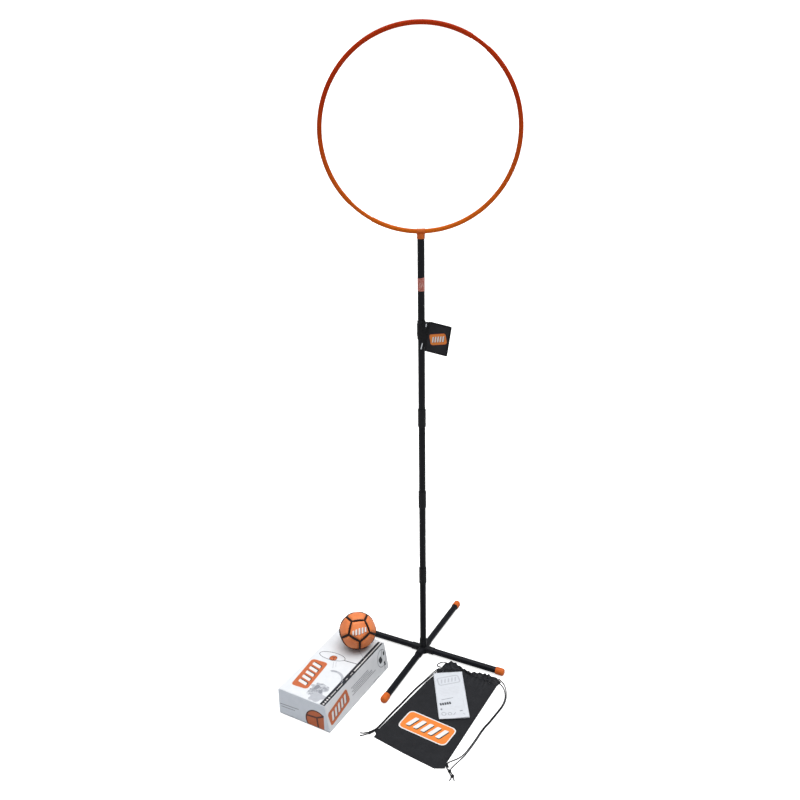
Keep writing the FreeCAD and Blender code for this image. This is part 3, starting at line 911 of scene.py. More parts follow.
def add_ball():
    ball = Ball()
    points, faces = joined([ball.panel(normal) for normal in ball.normals])
    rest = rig.box("ball_panels")[0].z
    for point in points:               # the ball settles a little where it rests
        if point.z < rest + 0.0012:
            point.z = rest + 0.4 * max(0.0, point.z - rest + 0.0005)
    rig.padded(piece("ball_leather", (points, faces), "ball", "ball_panel", ["ball_panels"]),
              0.95)
    piece("ball_piping", ball.seams(), "ball", "ball_seam")

    right = Vector((0, 0, 1)).cross(BALL_FACING).normalized()
    up = BALL_FACING.cross(right)
    corners = ball.corners(BALL_FACING)

    def on_panel(x, y, lift):
        towards = (BALL_FACING * 62 + right * x + up * y).normalized()
        return ball.surface(BALL_FACING, corners, towards) + towards * lift * MM

    for part, colour, shift, lift in (("shadow", "brown", 1.4, 0.22), ("bars", "white", 0, 0.34)):
        printed("ball_mark_" + part,
                [round_shape(0.5 + 11.4 * k + shift, 2 * k - 5 - shift, 6.4, 22 - 2.4 * abs(k),
                             2, 8, 0.25) for k in range(-2, 3)],
                (on_panel, "ball", "ball_panel"), colour, lift, 2.0)


# ---- carton -------------------------------------------------------------------------

CARTON_CORNER = (-482, -311)
CARTON_TURN = math.radians(-30)
CARTON_WIDTH = 198
CARTON_SPLAY = 17             # how much narrower it is at the top
CARTON_LENGTH = 374
CARTON_HEIGHT = 100
BOARD = 1.5
SIDE_SWELL = 0.9
TOP_SWELL = -0.3
END_BOW = 0.5


def in_carton(x, y, z):
    return Vector((*turned(x, y, CARTON_TURN, CARTON_CORNER), z)) * MM


def right_wall(z):
    return CARTON_WIDTH - CARTON_SPLAY * z / CARTON_HEIGHT


def wall_swell(across, y):
    """How far a wall stands out of its flat plane, from 0 at every crease to 1."""
    along = min(1.0, max(0.0, y / CARTON_LENGTH))
    return math.sin(math.pi * across) * math.sin(math.pi * along) ** 0.7


def on_top(x, y, lift):
    swell = TOP_SWELL * wall_swell(x / right_wall(CARTON_HEIGHT), y)
    return in_carton(x, y, CARTON_HEIGHT + swell + lift)


def on_side(y, z, lift):
    swell = SIDE_SWELL * wall_swell(z / CARTON_HEIGHT, y)
    return in_carton(right_wall(z) + swell + lift, y, z)


def end_bow(across, z):
    return END_BOW * math.sin(math.pi * z / CARTON_HEIGHT) * math.sin(math.pi * across)


def on_end(x, z, lift):
    return in_carton(x, end_bow(x / CARTON_WIDTH, z) - lift, z)


carton_top = (on_top, "carton", "carton_board")
carton_side = (on_side, "carton", "carton_board")
carton_end = (on_end, "carton_flap", "carton_board")


def carton_section(inset, y, radius):
    """One closed ring round the carton, with swollen walls and rounded creases."""
    low, high = inset, CARTON_HEIGHT - inset
    corners = [Vector(corner) for corner in (
        (inset, low), (right_wall(low) - inset, low), (right_wall(high) - inset, high),
        (inset, high))]
    ring = []
    for k, swell in enumerate((0.0, SIDE_SWELL, TOP_SWELL, 0.7)):
        before, a, b = corners[k - 1], corners[k], corners[(k + 1) % 4]
        along = (b - a).normalized()
        out = Vector((along.y, -along.x))
        first, last = a + (before - a).normalized() * radius, a + along * radius
        ring += [(1 - t) ** 2 * first + 2 * t * (1 - t) * a + t ** 2 * last
                 for t in (0, 0.25, 0.5, 0.75, 1)]
        ring += [a.lerp(b, step / 12) + out * swell * wall_swell(step / 12, y)
                 for step in range(1, 12)]
    return [in_carton(place.x, y, place.y) for place in ring]


def add_carton():
    near, far = BOARD + 0.5, CARTON_LENGTH
    stops = [near + (far - near) * k / 30 for k in range(30)]
    rings = [carton_section(BOARD, y, 0.4) for y in (far - BOARD, *reversed(stops[:-1]))]
    rings += [carton_section(0, y, 1.6) for y in stops]
    rings += [carton_section(inset, y, 1.6)
              for inset, y in ((0, far - 1.2), (0.35, far - 0.35), (1.2, far))]
    shell = piece("carton_shell", loft(rings), "carton", "carton_board", ["carton_body"])
    add_modifier(shell, "WEIGHTED_NORMAL", keep_sharp=True)

    # the end's board seen from the side: outer face, tongue under the floor, inner face
    profile = [(0.35, 99.55), (0.05, 98.9)]
    profile += [(0, z) for z in (94, 80, 66, 52, 38, 24, 12, 5.4)]
    profile += [(0.25, 4.1), (0.9, 3.25), (2.1, 3.0), (6, 3.0), (13.2, 3.1), (13.9, 3.5),
                (13.9, 4.1), (13.2, 4.5), (6, 4.45), (2.6, 4.45), (1.7, 5.2)]
    profile += [(BOARD, z) for z in (12, 24, 38, 52, 66, 80, 94)]
    profile += [(1.45, 98.9), (1.1, 99.55)]
    rings = []
    for across in (k / 24 for k in range(25)):
        ring = []
        for y, z in profile:
            tongue = min(1.0, max(0.0, (y - 1.5) / 5)) if z < 5 else 0.0
            taper = 4 * max(0.0, y - 8) / 6
            left = 0.3 + tongue * (12 + taper)
            right = right_wall(z) - 0.3 - tongue * (16 + taper)
            ring.append(in_carton(left + (right - left) * across,
                                  y + end_bow(across, z) * (z > 6), z))
        rings.append(ring)
    # the end's board takes a darker, bluer copy of the board finish: painted shade on the end face, which gets less
    # light than the top and side
    piece("carton_flap_board", loft(rings), "carton_flap", "carton_board", ["carton_end_flap"],
          board_finish("carton_end_board_painted_shade", (0.52, 0.56, 0.615), (0.55, 0.585, 0.64)), False)
    add_carton_prints()


def picture_ball(name, x, y, radius, turn, surface, limits=None):
    """A printed ball: an orange disc with dark seams that meet off its middle."""
    hub = (x + 0.04 * radius, y + 0.36 * radius)
    seams = [line_shape(*hub, *turned(reach * radius, 0, math.radians(turn + angle), hub),
                        0.15 * radius)
             for angle, reach in ((178, 0.98), (22, 0.83), (268, 1.32))]
    seams += ring_shapes(x, y, radius * 0.95, radius * 0.95, 0.11 * radius)
    disc = [turned(radius, 0, angle, (x, y)) for angle in circle(40)]
    for part, colour, shapes, lift in (("disc", "orange", [disc], 0.12),
                                       ("seams", "brown", seams, 0.18)):
        if limits:
            shapes = [cut for cut in (clip_shape(shape, *limits) for shape in shapes)
                      if len(cut) > 2]
        printed(f"{name}_{part}", shapes, surface, colour, lift)


def clip_shape(shape, x_low, x_high, y_low, y_high):
    """A polygon cut to limits."""
    for axis, limit, keep in ((0, x_low, 1), (0, x_high, -1), (1, y_low, 1), (1, y_high, -1)):
        result = []
        for a, b in pairs(shape):
            inside_a, inside_b = (keep * (end[axis] - limit) >= 0 for end in (a, b))
            if inside_a:
                result.append(a)
            if inside_a != inside_b:
                result.append(between(a, b, (limit - a[axis]) / (b[axis] - a[axis])))
        shape = result
    return shape


def blot_shape(x, y, width, height, seed):
    """An uneven round blot."""
    shape = []
    for angle in circle(36):
        out = Vector((math.cos(angle), math.sin(angle), 0))
        reach = 0.5 + 0.22 * noise.noise(out * 1.9 + Vector((0, 0, seed)))
        shape.append((x + width * reach * out.x, y + height * reach * out.y))
    return shape


def add_carton_prints():
    def top(name, shapes, colour, lift=0.12, grain=12.0):
        printed("top_" + name, shapes, carton_top, colour, lift, grain)

    def swoosh_end(start, end):
        return ring_shapes(124, 118, 43, 45, 3, start, end, steps=8)

    # top: a sign, a banded stripe, a hoop picture and soft grey shapes
    badge("top_sign", 49, 111, 150, 68, 95, carton_top)
    edge = right_wall(CARTON_HEIGHT)
    top("stripe", [box_shape((161 + edge - 0.5) / 2, 184, edge - 161.5, 362)], "black")
    middle = 172
    marks = [round_shape(middle, 10 + 11 * k, 6, 6, 2.2, 45) for k in range(4)]
    marks += [box_shape(middle, y, 2.2, length)
              for y, length in ((66, 30), (104, 34), (146, 10), (176, 14))]
    marks += [box_shape(middle, 214 + 44 * k, 3.8, 42.5) for k in range(4)]
    top("stripe_marks", marks, "white", 0.2, 20)
    top("hoop", [*ring_shapes(64.5, 223, 48, 19, 2.2, turn=6),
                 line_shape(112, 223, 165, 228, 3.0)], "dark_grey")
    top("trails", [line_shape(84, 202, 100, 172, 1.6), line_shape(92, 205, 105, 182, 1.4),
                   line_shape(168, 262, 128, 292, 1.6)], "pale_grey")
    picture_ball("top_ball", 73, 216, 13.5, 20, carton_top)
    for name, blots, colour, lift in (
            ("wide", [(134, 30, 46, 42, 2.5)], "pale_grey", 0.10),
            ("tall", [(118, 64, 58, 50, 0.7)], "mottled_grey", 0.14),
            ("low", [(104, 40, 24, 34, 5.1)], "mottled_grey", 0.17),
            ("dark", [(108, 66, 17, 24, 8.2), (131, 52, 15, 13, 3.3)], "grey", 0.20)):
        top("blot_" + name, [blot_shape(*blot) for blot in blots], colour, lift)
    top("swoosh", ring_shapes(124, 118, 41, 43, 9, 0, 118, steps=24), "pale_grey")
    top("swoosh_ends", swoosh_end(92, 122) + swoosh_end(2, 24), "grey", 0.16)

    # side: a sign, lines, and a round picture
    badge("side_sign", 69, 50, 122, 57, 9, carton_side)
    rows = [box_shape(201 + 5 * k, 67 - 6.6 * k, 108 + 10 * k - 18 * (k % 2), 2.6)
            for k in range(5)]
    rows.append(box_shape(291, 6.5, 40, 2.2))
    spots = [round_shape(*spot) for spot in ((333, 54, 19, 24, 7, 20), (358, 66, 9, 14, 3, -10),
                                             (354, 28, 9, 16, 3, 10))]
    spots += [line_shape(340, 62, 352, 84, 1.8), line_shape(352, 26, 350, 6, 2.0)]
    printed("side_lines", rows, carton_side, "grey")
    printed("side_ring", ring_shapes(342, 56, 27, 31, 2.2), carton_side, "grey")
    printed("side_spots", spots, carton_side, "black")

    # near end: lines and a cropped ball
    printed("end_lines", [line_shape(5, 42, 78, 46, 2.6), line_shape(9, 33, 63, 35, 2.4)],
            carton_end, "grey")
    picture_ball("end_ball", 148, 27, 43, 8, carton_end, (0, 177, 5, 97))


# ---- leaflet ------------------------------------------------------------------------

LEAF_WIDTH = 100
LEAF_LENGTH = 226
LEAF_TURN = math.radians(2.5)
LEAF_CURL = 3.0
LEAF_MIDDLE = (85.8, -245)
LEAF_HALF = 0.12              # half a leaf's thickness
LEAF_TOP = 6.65               # level of the front leaf


def on_leaf(x, y, level, curl=0.0):
    """Leaves share one gentle wave; curl lifts the free right edge's corners, too."""
    u, v = x / (LEAF_WIDTH / 2), y / (LEAF_LENGTH / 2)
    wave = 0.5 * (0.5 - 0.5 * math.cos(math.pi * v)) + 0.25 * (1 + math.sin(2.2 * u + 1.4 * v))
    wave += 1.6 * max(0.0, v) ** 2
    lift = curl * (0.5 + 0.5 * u) ** 2 * (0.35 + 0.25 * abs(v) ** 3 + 0.4 * (0.5 - 0.5 * v) ** 2)
    return Vector((*turned(x, y, LEAF_TURN, LEAF_MIDDLE), level + wave + lift)) * MM


def on_front_leaf(x, y, lift):
    return on_leaf(x, y, LEAF_TOP + LEAF_HALF + lift, LEAF_CURL)


def add_leaflet():
    for node, body, level, curl in (("leaf_back", "leaflet", 5.45, 0.0),
                                    ("leaf_middle", "leaflet_middle", 6.05, 0.0),
                                    ("leaf_front", "leaflet_front", LEAF_TOP, LEAF_CURL)):
        def place(u, v, front):
            return on_leaf(LEAF_WIDTH * (u - 0.5), LEAF_LENGTH * (v - 0.5),
                           level + (LEAF_HALF if front else -LEAF_HALF), curl)

        leaf = piece(node + "_paper", two_sided(20, 40, place), body, "leaflet_paper", [node])
        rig.sheet(leaf, flat=(LEAF_WIDTH * MM, LEAF_LENGTH * MM), held="laid",
                 rests_on=["bag_front"])

    def leaf(name, shapes, colour, lift=0.05):
        printed("leaf_" + name, shapes, (on_front_leaf, "leaflet_front", "leaflet_paper"),
                colour, lift, 8)

    leaf("header", [round_shape(-1, 73, 78, 40, 9, 10)], "pale_grey")
    leaf("header_field", [round_shape(-1, 73, 69, 31, 6, 10)], "paper", 0.08)
    leaf("header_bars", [round_shape(-25 + 12 * k, 69 + 2.1 * k, 5.5, 20, 1.8, 10, 0.3)
                         for k in range(5)], "pale_grey", 0.11)
    rows = [(-2, 36 - 7 * k, width, 2.0, 5) for k, width in enumerate((66, 66, 60, 66, 62, 52))]
    rows += [(12, -58, 40, 1.6, 5), (12, -65, 44, 1.6, 5), (14, -72, 36, 1.6, 5),
             (10, -96, 30, 1.6, 5)]
    rows += [(38, -22 - 7 * k, 3.0, 5) for k in range(7)]
    leaf("lines", [box_shape(*row) for row in rows], "light_grey")
    leaf("heading", [line_shape(-34, -22, 6, -14, 2.6)], "grey")
    leaf("title", [round_shape(-38 + 7.8 * k, -43.5 + 1.1 * k, 6.3, 12, 1.6, 8)
                   for k in range(5)], "dark_grey")
    leaf("icons", [round_shape(-38, -68, 6, 9, 2.4), box_shape(26, -80, 10, 4, 12),
                   *ring_shapes(-32, -90, 7, 7, 1.8, steps=24),
                   *ring_shapes(-12, -91, 6, 6, 1.6, steps=24),
                   line_shape(-1, -97, 7, -86, 2.0), line_shape(31, -92, 36, -99, 1.8)], "grey")


# ---- drawstring bag -----------------------------------------------------------------

# outlines, in millimetres: the gathered mouth from left to right, then foot and sides
mouth_outer = [(43, -106), (60, -91), (78, -78), (98, -72), (112, -78), (124, -98),
               (140, -111), (160, -127), (194, -129), (222, -140), (252, -160), (264, -176)]
mouth_inner = [(46, -120), (84, -116), (140, -124), (165, -152), (205, -172), (244, -200)]
bag_foot = [(-170, -430), (-75, -503), (16, -567), (49, -568)]
bag_left = [(-170, -430), (-163, -417), (-168, -402), (-154, -394), (-105.4, -326.2),
            (6.6, -168.2), (46, -120)]
bag_right = [(49, -568), (56, -545), (150, -372), (244, -200)]
BAG_FLAT = (0.272, 0.44)      # one layer before it was gathered, its casing included
BAG_COLUMNS, BAG_ROWS = 72, 104
BAG_WIDE = BAG_COLUMNS + 1
CLOTH = 0.0004                # thickness of the cloth
SETTLING_FRAMES = 28


class Line:
    """A polyline read by its share of length."""

    def __init__(self, points):
        self.points = np.array(points, float)
        steps = np.hypot(*np.diff(self.points, axis=0).T)
        self.shares = np.concatenate([[0], np.cumsum(steps)]) / steps.sum()

    def at(self, share):
        return np.array([np.interp(share, self.shares, self.points[:, k]) for k in (0, 1)])


bag_sides = [Line(points) for points in (bag_foot, mouth_inner, bag_left, bag_right)]


def soft_noise(x, y, size, seed):
    return noise.noise(Vector((x / size, y / size, seed)))


def leaflet_room(x, y):
    """1 under the leaflet, falling to 0 a little way outside it."""
    u, v = turned(x - LEAF_MIDDLE[0], y - LEAF_MIDDLE[1], -LEAF_TURN)
    outside = max(abs(u) - LEAF_WIDTH / 2, abs(v) - LEAF_LENGTH / 2)
    return min(1.0, max(0.0, 1 - (outside - 2) / 14))


def mouth_push(share):
    """How far the bunched cloth bulges out of the mouth's line, in millimetres."""
    return np.interp(share, (0, 0.08, 0.13, 0.17, 0.30, 0.38, 0.46, 0.55),
                     (-2, -6, -2, 5, 6.5, 4, 2, 0))


def pleats(share, phase=0.0):
    """Uneven gathers along the mouth, from 0 in a fold to 1 on its ridge."""
    warped = share + 0.02 * math.sin(9 * share + 1) + 0.012 * math.sin(23 * share + phase)
    ridge = 0.5 + 0.5 * math.cos(math.tau * 13 * warped + phase)
    return ridge * (0.75 + 0.25 * math.sin(31 * share + 2))


def bag_share(k):
    """How far across and up one layer its grid point k is, each from 0 to 1."""
    return (k % BAG_WIDE) / BAG_COLUMNS, (k // BAG_WIDE) / BAG_ROWS


def bag_place(u, v):
    """A flat place of one layer's cloth, spanned between its four outlines."""
    foot, mouth, left, right = bag_sides
    return ((1 - v) * foot.at(u) + v * mouth.at(u) + (1 - u) * left.at(v) + u * right.at(v)
            - (1 - u) * (1 - v) * foot.at(0) - u * (1 - v) * foot.at(1)
            - (1 - u) * v * mouth.at(0) - u * v * mouth.at(1))


def bag_height(x, y, u, v):
    """How high the front layer's cloth starts out, in millimetres."""
    rim = min(1.0, min(u, 1 - u) * 260 / 16, v * 420 / 16)
    gather = max(0.0, (v - 0.62) / 0.38) ** 2
    height = 1.6 + 1.3 * rim * (0.6 + soft_noise(x, y, 60, 1.5))
    height += 0.9 * rim * soft_noise(x + 0.6 * y, y, 24, 7)
    height += 6.0 * gather * pleats(u + 0.01 * soft_noise(x, y, 30, 3)) * rim
    corner = math.exp(-math.hypot(x - 49, y + 560) / 45)
    return height + 3.0 * corner * rim * (0.5 + 0.5 * math.sin((x - y) / 4.5))


def settle(obj, cut, held, floor_height):
    """Lets a cloth that was cut wider than its place fall and crease, and keeps the result."""
    obj.shape_key_add(name="placed")
    wide = obj.shape_key_add(name="cut")
    for point, place in zip(wide.data, cut):
        point.co = place
    wide.value = 0
    group = obj.vertex_groups.new(name="held")
    group.add(held, 1.0, "REPLACE")
    mesh = square_mesh("settling_floor", 1)
    ground = link(bpy.data.objects.new("settling_floor", mesh))
    ground.location.z = floor_height
    bump = ground.modifiers.new("collision", "COLLISION")
    bump.settings.thickness_outer = 0.0008
    cloth = obj.modifiers.new("cloth", "CLOTH")
    set_up(cloth.settings, quality=7, mass=0.12, tension_stiffness=12, compression_stiffness=12,
           shear_stiffness=4, bending_stiffness=0.02, air_damping=3, vertex_group_mass="held",
           rest_shape_key=wide)
    cloth.collision_settings.distance_min = 0.0008
    set_up(cloth.point_cache, frame_start=1, frame_end=SETTLING_FRAMES)
    for frame in range(1, SETTLING_FRAMES + 1):
        bpy.context.scene.frame_set(frame)
    shown = obj.evaluated_get(bpy.context.evaluated_depsgraph_get())
    places = [vertex.co.copy() for vertex in shown.data.vertices]
    bpy.context.scene.frame_set(1)
    obj.modifiers.remove(cloth)
    obj.shape_key_clear()
    obj.vertex_groups.remove(group)
    bpy.data.objects.remove(ground)
    bpy.data.meshes.remove(mesh)
    for vertex, place in zip(obj.data.vertices, places):
        vertex.co = place


def settle_front(front, places, heights):
    """The front layer is cut a little wider than its place, most of all at the mouth."""
    cut, held = [], []
    for k, ((x, y), z) in enumerate(zip(places, heights)):
        u, v = bag_share(k)
        left, right = places[k - k % BAG_WIDE], places[k - k % BAG_WIDE + BAG_COLUMNS]
        extra = 0.012 + 0.13 * max(0.0, (v - 0.6) / 0.4) ** 1.5
        side = (right - left) * (u - 0.5) * extra
        cut.append(Vector((x + side[0], y + side[1], z)) * MM)
        if u in (0, 1) or v in (0, 1):
            held.append(k)
    settle(front, cut, held, 0.0006)


def shape_front(front):
    """Hems the edges, keeps the cloth off the floor and low where the leaflet lies."""
    for k, vertex in enumerate(front.data.vertices):
        u, v = bag_share(k)
        edge = min(min(u, 1 - u) * 260, v * 400)
        hem = 0.7 if edge < 5 else 0.0
        low = 0.9 + 0.6 * min(1.0, edge / 10)
        room = leaflet_room(vertex.co.x / MM, vertex.co.y / MM)
        top = 9.0 + (4.9 - 9.0) * room
        height = max(low, vertex.co.z / MM + hem * (1 - room))
        soft = 1.6
        if height > top - soft:
            height = top - soft * math.exp(-(height - top + soft) / soft)
        vertex.co.z = height * MM


def add_bag():
    shares = [bag_share(k) for k in range(BAG_WIDE * (BAG_ROWS + 1))]
    places = [bag_place(*share) for share in shares]
    heights = [bag_height(*place, *share) for place, share in zip(places, shares)]
    faces = grid_faces(BAG_COLUMNS, BAG_ROWS)
    front = piece("bag_cloth_front",
                  ([Vector((x, y, z)) * MM for (x, y), z in zip(places, heights)], faces),
                  "bag", "bag_cloth", ["bag_front"])
    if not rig.quick():
        settle_front(front, places, heights)
    shape_front(front)
    subdivide(front)
    add_modifier(front, "SOLIDIFY", thickness=CLOTH, offset=-1)
    back = piece("bag_cloth_back",
                 ([Vector((x, y, 0.45 + 0.12 * soft_noise(x, y, 18, 5))) * MM
                   for x, y in places], faces), "bag", "bag_cloth", ["bag_back"])
    add_modifier(back, "SOLIDIFY", thickness=CLOTH, offset=-1)
    gathers = add_gathers()
    tree = BVHTree.FromObject(front, bpy.context.evaluated_depsgraph_get())

    def on_bag(x, y, lift):
        hit = tree.ray_cast(Vector((x, y, 60)) * MM, Vector((0, 0, -1)))[0]
        return Vector((x * MM, y * MM, (hit.z if hit else 0.002) + lift * MM))

    seams = add_bag_seams(places, on_bag)
    area = 0.93 * BAG_FLAT[0] * BAG_FLAT[1]
    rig.sheet(front, flat=BAG_FLAT, held="gathered", rests_on=[back.name], area=area,
             with_pieces=[gathers, seams])
    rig.sheet(back, flat=BAG_FLAT, held="laid", rests_on=["floor"], area=area)
    badge("bag_sign", 1, -394, 178, 88, -33, (on_bag, "bag", "badge_print"), "white",
          "bright_orange", (), 0.15, 4)


def add_gathers():
    """The drawn-up mouth: a soft roll of cloth in uneven folds, pinched along the cord."""
    outer, inner = Line(mouth_outer), Line(mouth_inner)
    columns = 300
    # places across the roll, from the outer side over its top, and back under it
    top = [1.0, 0.9, 0.75, 0.6, 0.45, 0.3, 0.15, 0.0, -0.15, -0.28, -0.38, -0.48, -0.6, -0.75,
           -0.9, -1.0]
    under = [-0.8, -0.4, 0.0, 0.4, 0.8]
    rings = []
    for share in (k / columns for k in range(columns + 1)):
        a, b = outer.at(share), inner.at(share)
        middle, reach = (a + b) / 2, (a - b) / 2
        push = reach / np.hypot(*reach) * mouth_push(share)
        bulk = math.exp(-((share - 0.27) / 0.12) ** 2)
        along = outer.at(min(1, share + 0.01)) - outer.at(max(0, share - 0.01))
        along = along / np.hypot(*along)
        close = min(1.0, 12 * share, 12 * (1 - share)) ** 0.5
        lump = 1 + 0.35 * noise.noise(Vector((share * 9, 2.2, 0)))
        ring = []
        for across in top:
            slip = 0.012 * (across + 0.35) * math.sin(17 * share)
            fold = pleats(share + slip, 0.6 * across)
            fine = 0.5 + 0.5 * math.sin(math.tau * 41 * share + 3 * across)
            swell = 1.0 + 0.24 * (fold - 0.5) if across > 0 else 1.08 + 0.06 * (fold - 0.5)
            arch = max(0.0, 1 - across ** 4) ** 0.5
            pinch = math.exp(-((across + 0.38) / 0.13) ** 2)
            height = 2.4 + arch * (4.2 + 1.5 * bulk + 4.6 * lump * fold + 1.2 * fine * fold)
            height -= pinch * (2.6 + 2.4 * fold)
            if across < -0.8:
                height = min(height, 4.5)
            shift = 2.2 * (fold - 0.5) * math.sin(math.tau * 15 * share + across)
            place = middle + reach * across * swell + along * shift * 0.6
            place = place + push * max(0.0, 0.4 + 0.6 * across)
            ring.append(Vector((*place, 0.8 + (height - 0.8) * close)) * MM)
        for across in under:
            place = middle + reach * across * 0.97 + push * max(0.0, across)
            ring.append(Vector((*place, 0.25)) * MM)
        rings.append(ring)
    roll = piece("bag_mouth_gathers", loft(rings), "bag", "bag_cloth", ["bag_channel"])
    subdivide(roll)
    return roll


def add_bag_seams(places, on_bag):
    """Rows of thread along both sides and the foot."""
    rows = [[places[j * BAG_WIDE + column] for j in range(4, BAG_ROWS - 2)]
            for column in (1, BAG_COLUMNS - 1)]
    rows.append([places[BAG_WIDE + i] for i in range(2, BAG_COLUMNS - 1)])
    stitches = []
    for row in rows:
        for a, b in zip(row, row[1:]):
            arc = [on_bag(*between(a, b, 0.12 + 0.76 * t), 0.22 * math.sin(math.pi * t))
                   for t in (0, 1 / 3, 2 / 3, 1)]
            stitches.append(tube(arc, 0.00022, 5))
    return piece("bag_stitching", joined(stitches), "bag", "cord_black")


# ---- tag ----------------------------------------------------------------------------

TAG_WIDTH = 75
TAG_HEIGHT = 99
TAG_TILT = math.radians(-8.9)         # in its own plane
TAG_SWING = math.radians(-20)         # round the pole from facing -Y
TAG_CORNER = (29.9, 1251.7)
TAG_FACE = -17.6


def swung(x, y, z):
    """A point, in millimetres, turned round the pole with the tag."""
    return Vector((*turned(x, y, TAG_SWING), z)) * MM


def on_tag(x, y, z):
    """Tag pieces are drawn flat in XZ with their upper left corner at the origin."""
    across, up = turned(x, z, TAG_TILT, TAG_CORNER)
    return swung(across, y, up)


def tag_front(x, z):
    """The cover's front, a soft pillow with one slack dent."""
    u, v = x / TAG_WIDTH * 2 - 1, -z / TAG_HEIGHT * 2 - 1
    pillow = max(0.0, (1 - u ** 4) * (1 - v ** 4)) ** 0.5
    dent = 0.35 * noise.noise(Vector((x * 0.035, z * 0.035, 4)))
    return TAG_FACE - 1.1 * pillow - dent * pillow


def on_cover(x, z, lift):
    return on_tag(x, tag_front(x, z) - lift, z)


def tag_outline(inset, radius):
    """The corners of the tag's round-cornered edge, inset in all by some millimetres."""
    return round_shape(TAG_WIDTH / 2, -TAG_HEIGHT / 2, TAG_WIDTH - inset, TAG_HEIGHT - inset,
                       radius)


def normal_of(a, b):
    """The flat direction to the right of the way from a to b."""
    along = Vector((b[0] - a[0], b[1] - a[1])).normalized()
    return Vector((along.y, -along.x))


def blunt(value, power):
    """A cosine or sine with its curve squared off."""
    return math.copysign(abs(value) ** power, value)


def add_tag():
    def place(u, v, front):
        x, z = 1 + (TAG_WIDTH - 2) * u, -1 - (TAG_HEIGHT - 2) * v
        return on_tag(x, tag_front(x, z) if front else TAG_FACE + 2.9, z)

    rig.padded(piece("tag_pouch", two_sided(30, 38, place), "tag", "tag_cloth", ["tag_cover"]),
              0.5)
    add_tag_edge()
    badge("tag_sign", 38.5, -49.9, 53.6, 35.6, 18, (on_cover, "tag", "badge_print"), "orange",
          "bright_orange", ["tag_badge"], 0.10, 5)
    add_tag_ties()
    add_tag_webbing()


def add_tag_edge():
    """The bound edge: folded tape over the rim, ruffled a little by its stitches."""
    path = []
    for a, b in pairs(tag_outline(5, 3)):
        steps = max(1, int(math.dist(a, b) / 1.6))
        path += [between(a, b, k / steps) for k in range(steps)]
    rings = []
    for k, (x, z) in enumerate(path):
        out = normal_of(path[k - 1], path[(k + 1) % len(path)])
        ruffle = 1 + 0.07 * math.sin(k * 1.9) + 0.06 * noise.noise(Vector((k * 0.21, 0, 0)))
        ring = []
        for turn in circle(14):
            wide = 2.35 * blunt(math.cos(turn), 0.6)
            thick = 2.15 * blunt(math.sin(turn), 0.7) * ruffle
            ring.append(on_tag(x + out.x * wide, TAG_FACE + 0.85 + thick, z + out.y * wide))
        rings.append(ring)
    piece("tag_bound_edge", loft(rings + rings[:1], False), "tag", "webbing_black",
          ["tag_binding"])

    stitches = []
    for a, b in pairs(tag_outline(8.4, 2)):
        steps = int(math.dist(a, b) / 3.4)
        for k in range(steps):
            ends = [between(a, b, (k + share) / steps) for share in (0.2, 0.8)]
            arc = []
            for t in (0, 0.25, 0.5, 0.75, 1):
                x, z = between(*ends, t)
                arc.append(on_tag(x, TAG_FACE - 1.25 - 0.25 * math.sin(math.pi * t), z))
            stitches.append(tube(arc, 0.22 * MM, 6))
    piece("tag_stitches", joined(stitches), "tag", "webbing_black",
          material=materials["moulding_black"])


def add_tag_ties():
    ties = []
    for x, z, length, lean in ((20.9, 1236.7, 11, 10), (6, 1167.7, 22, 13)):
        rings = []
        for t in (k / 12 for k in range(13)):
            fat = min(1.0, 4 * math.sqrt(max(0.004, t * (1 - t))))
            bow = 0.5 * math.sin(math.pi * t)
            ring = []
            for turn in circle(12):
                across, up = turned(1.6 * fat * math.cos(turn), (t - 0.5) * length,
                                    -math.radians(lean), (x, z))
                ring.append(swung(across, TAG_FACE + 2.1 + 0.6 * fat * math.sin(turn) - bow, up))
            rings.append(ring)
        ties.append(loft(rings))
    piece("tag_white_ties", joined(ties), "tag", "tie_white", ["tag_ties"])


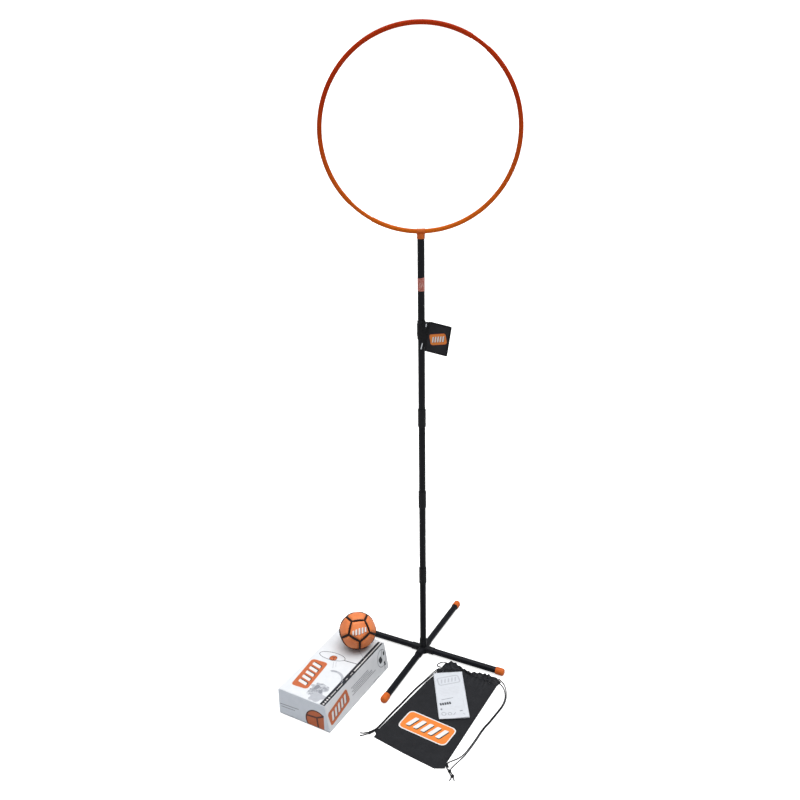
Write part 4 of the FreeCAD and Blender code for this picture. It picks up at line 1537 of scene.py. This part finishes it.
def add_tag_webbing():
    """Webbing round the coupler, its end sewn to the cover's back."""
    path = [(43.6, -14.1), (34, -14.1), (26, -14.1), (18, -14.1), (11.5, -14.08),
            (8, -14.05), (5, -13.9)]
    path += [turned(13.62, 0, math.radians(degrees)) for degrees in range(-92, -436, -8)]
    section = [(1196, -0.42), (1206, -0.47), (1216, -0.47), (1226, -0.47), (1236, -0.42)]
    section += [(level, -side) for level, side in reversed(section)]
    sewn = dict(enumerate((1.0, 1.0, 1.0, 1.0, 0.95, 0.5)))
    rings = []
    for k, (x, y) in enumerate(path):
        out = -normal_of(path[max(0, k - 1)], path[min(len(path) - 1, k + 1)])
        flare = 0.18 * math.sin(k * 0.8)
        ring = []
        for level, side in section:
            tall = 1164 + 84 * (level - 1196) / 40       # the sewn end is the taller one
            ring.append(swung(x + out.x * side, y + out.y * side,
                              level + (tall - level) * sewn.get(k, 0.0)
                              + flare * (1 if level > 1216 else -1)))
        rings.append(ring)
    piece("tag_webbing", loft(rings), "tag", "webbing_black", ["tag_strap"])


# ---- label on the top tube ----------------------------------------------------------


def add_label():
    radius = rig.box("pole_label")[1].x / MM

    def on_tube(x, z, lift):
        across, out = turned(0, -(radius + lift), x / radius)
        return Vector((across, out, z)) * MM

    shapes = [box_shape(0, 1345, 20, 1.6), box_shape(0, 1377, 20, 1.4)]
    shapes += [round_shape(x, 1361, 3, height, 1.2, 0, 0.25)
               for x, height in ((-5, 16), (2, 16), (9, 12))]
    printed("label_marks", shapes, (on_tube, "pole_5", "label"), "pale_pink", 0.05, 3)


# ---- carried-over CAD pieces --------------------------------------------------------


def paint_frame():
    """Every CAD node takes the material of its slot in the record."""
    for row in frame["record"]["subparts"]:
        node = frame["nodes"][row["node"]]
        node.data.materials.clear()
        node.data.materials.append(materials.get(row["material_slot"], inks["bright_orange"]))


# ---- all of it ----------------------------------------------------------------------

paint_frame()
add_camera()
add_studio()
add_cords(add_knots())
add_ball()
add_carton()
add_leaflet()
add_bag()
add_tag()
add_label()

visual_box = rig.bounds()
with open("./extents.json", "w") as size_file:
    json.dump({"cad": [list(corner) for corner in cad_box],
               "visual": [list(corner) for corner in visual_box]}, size_file)
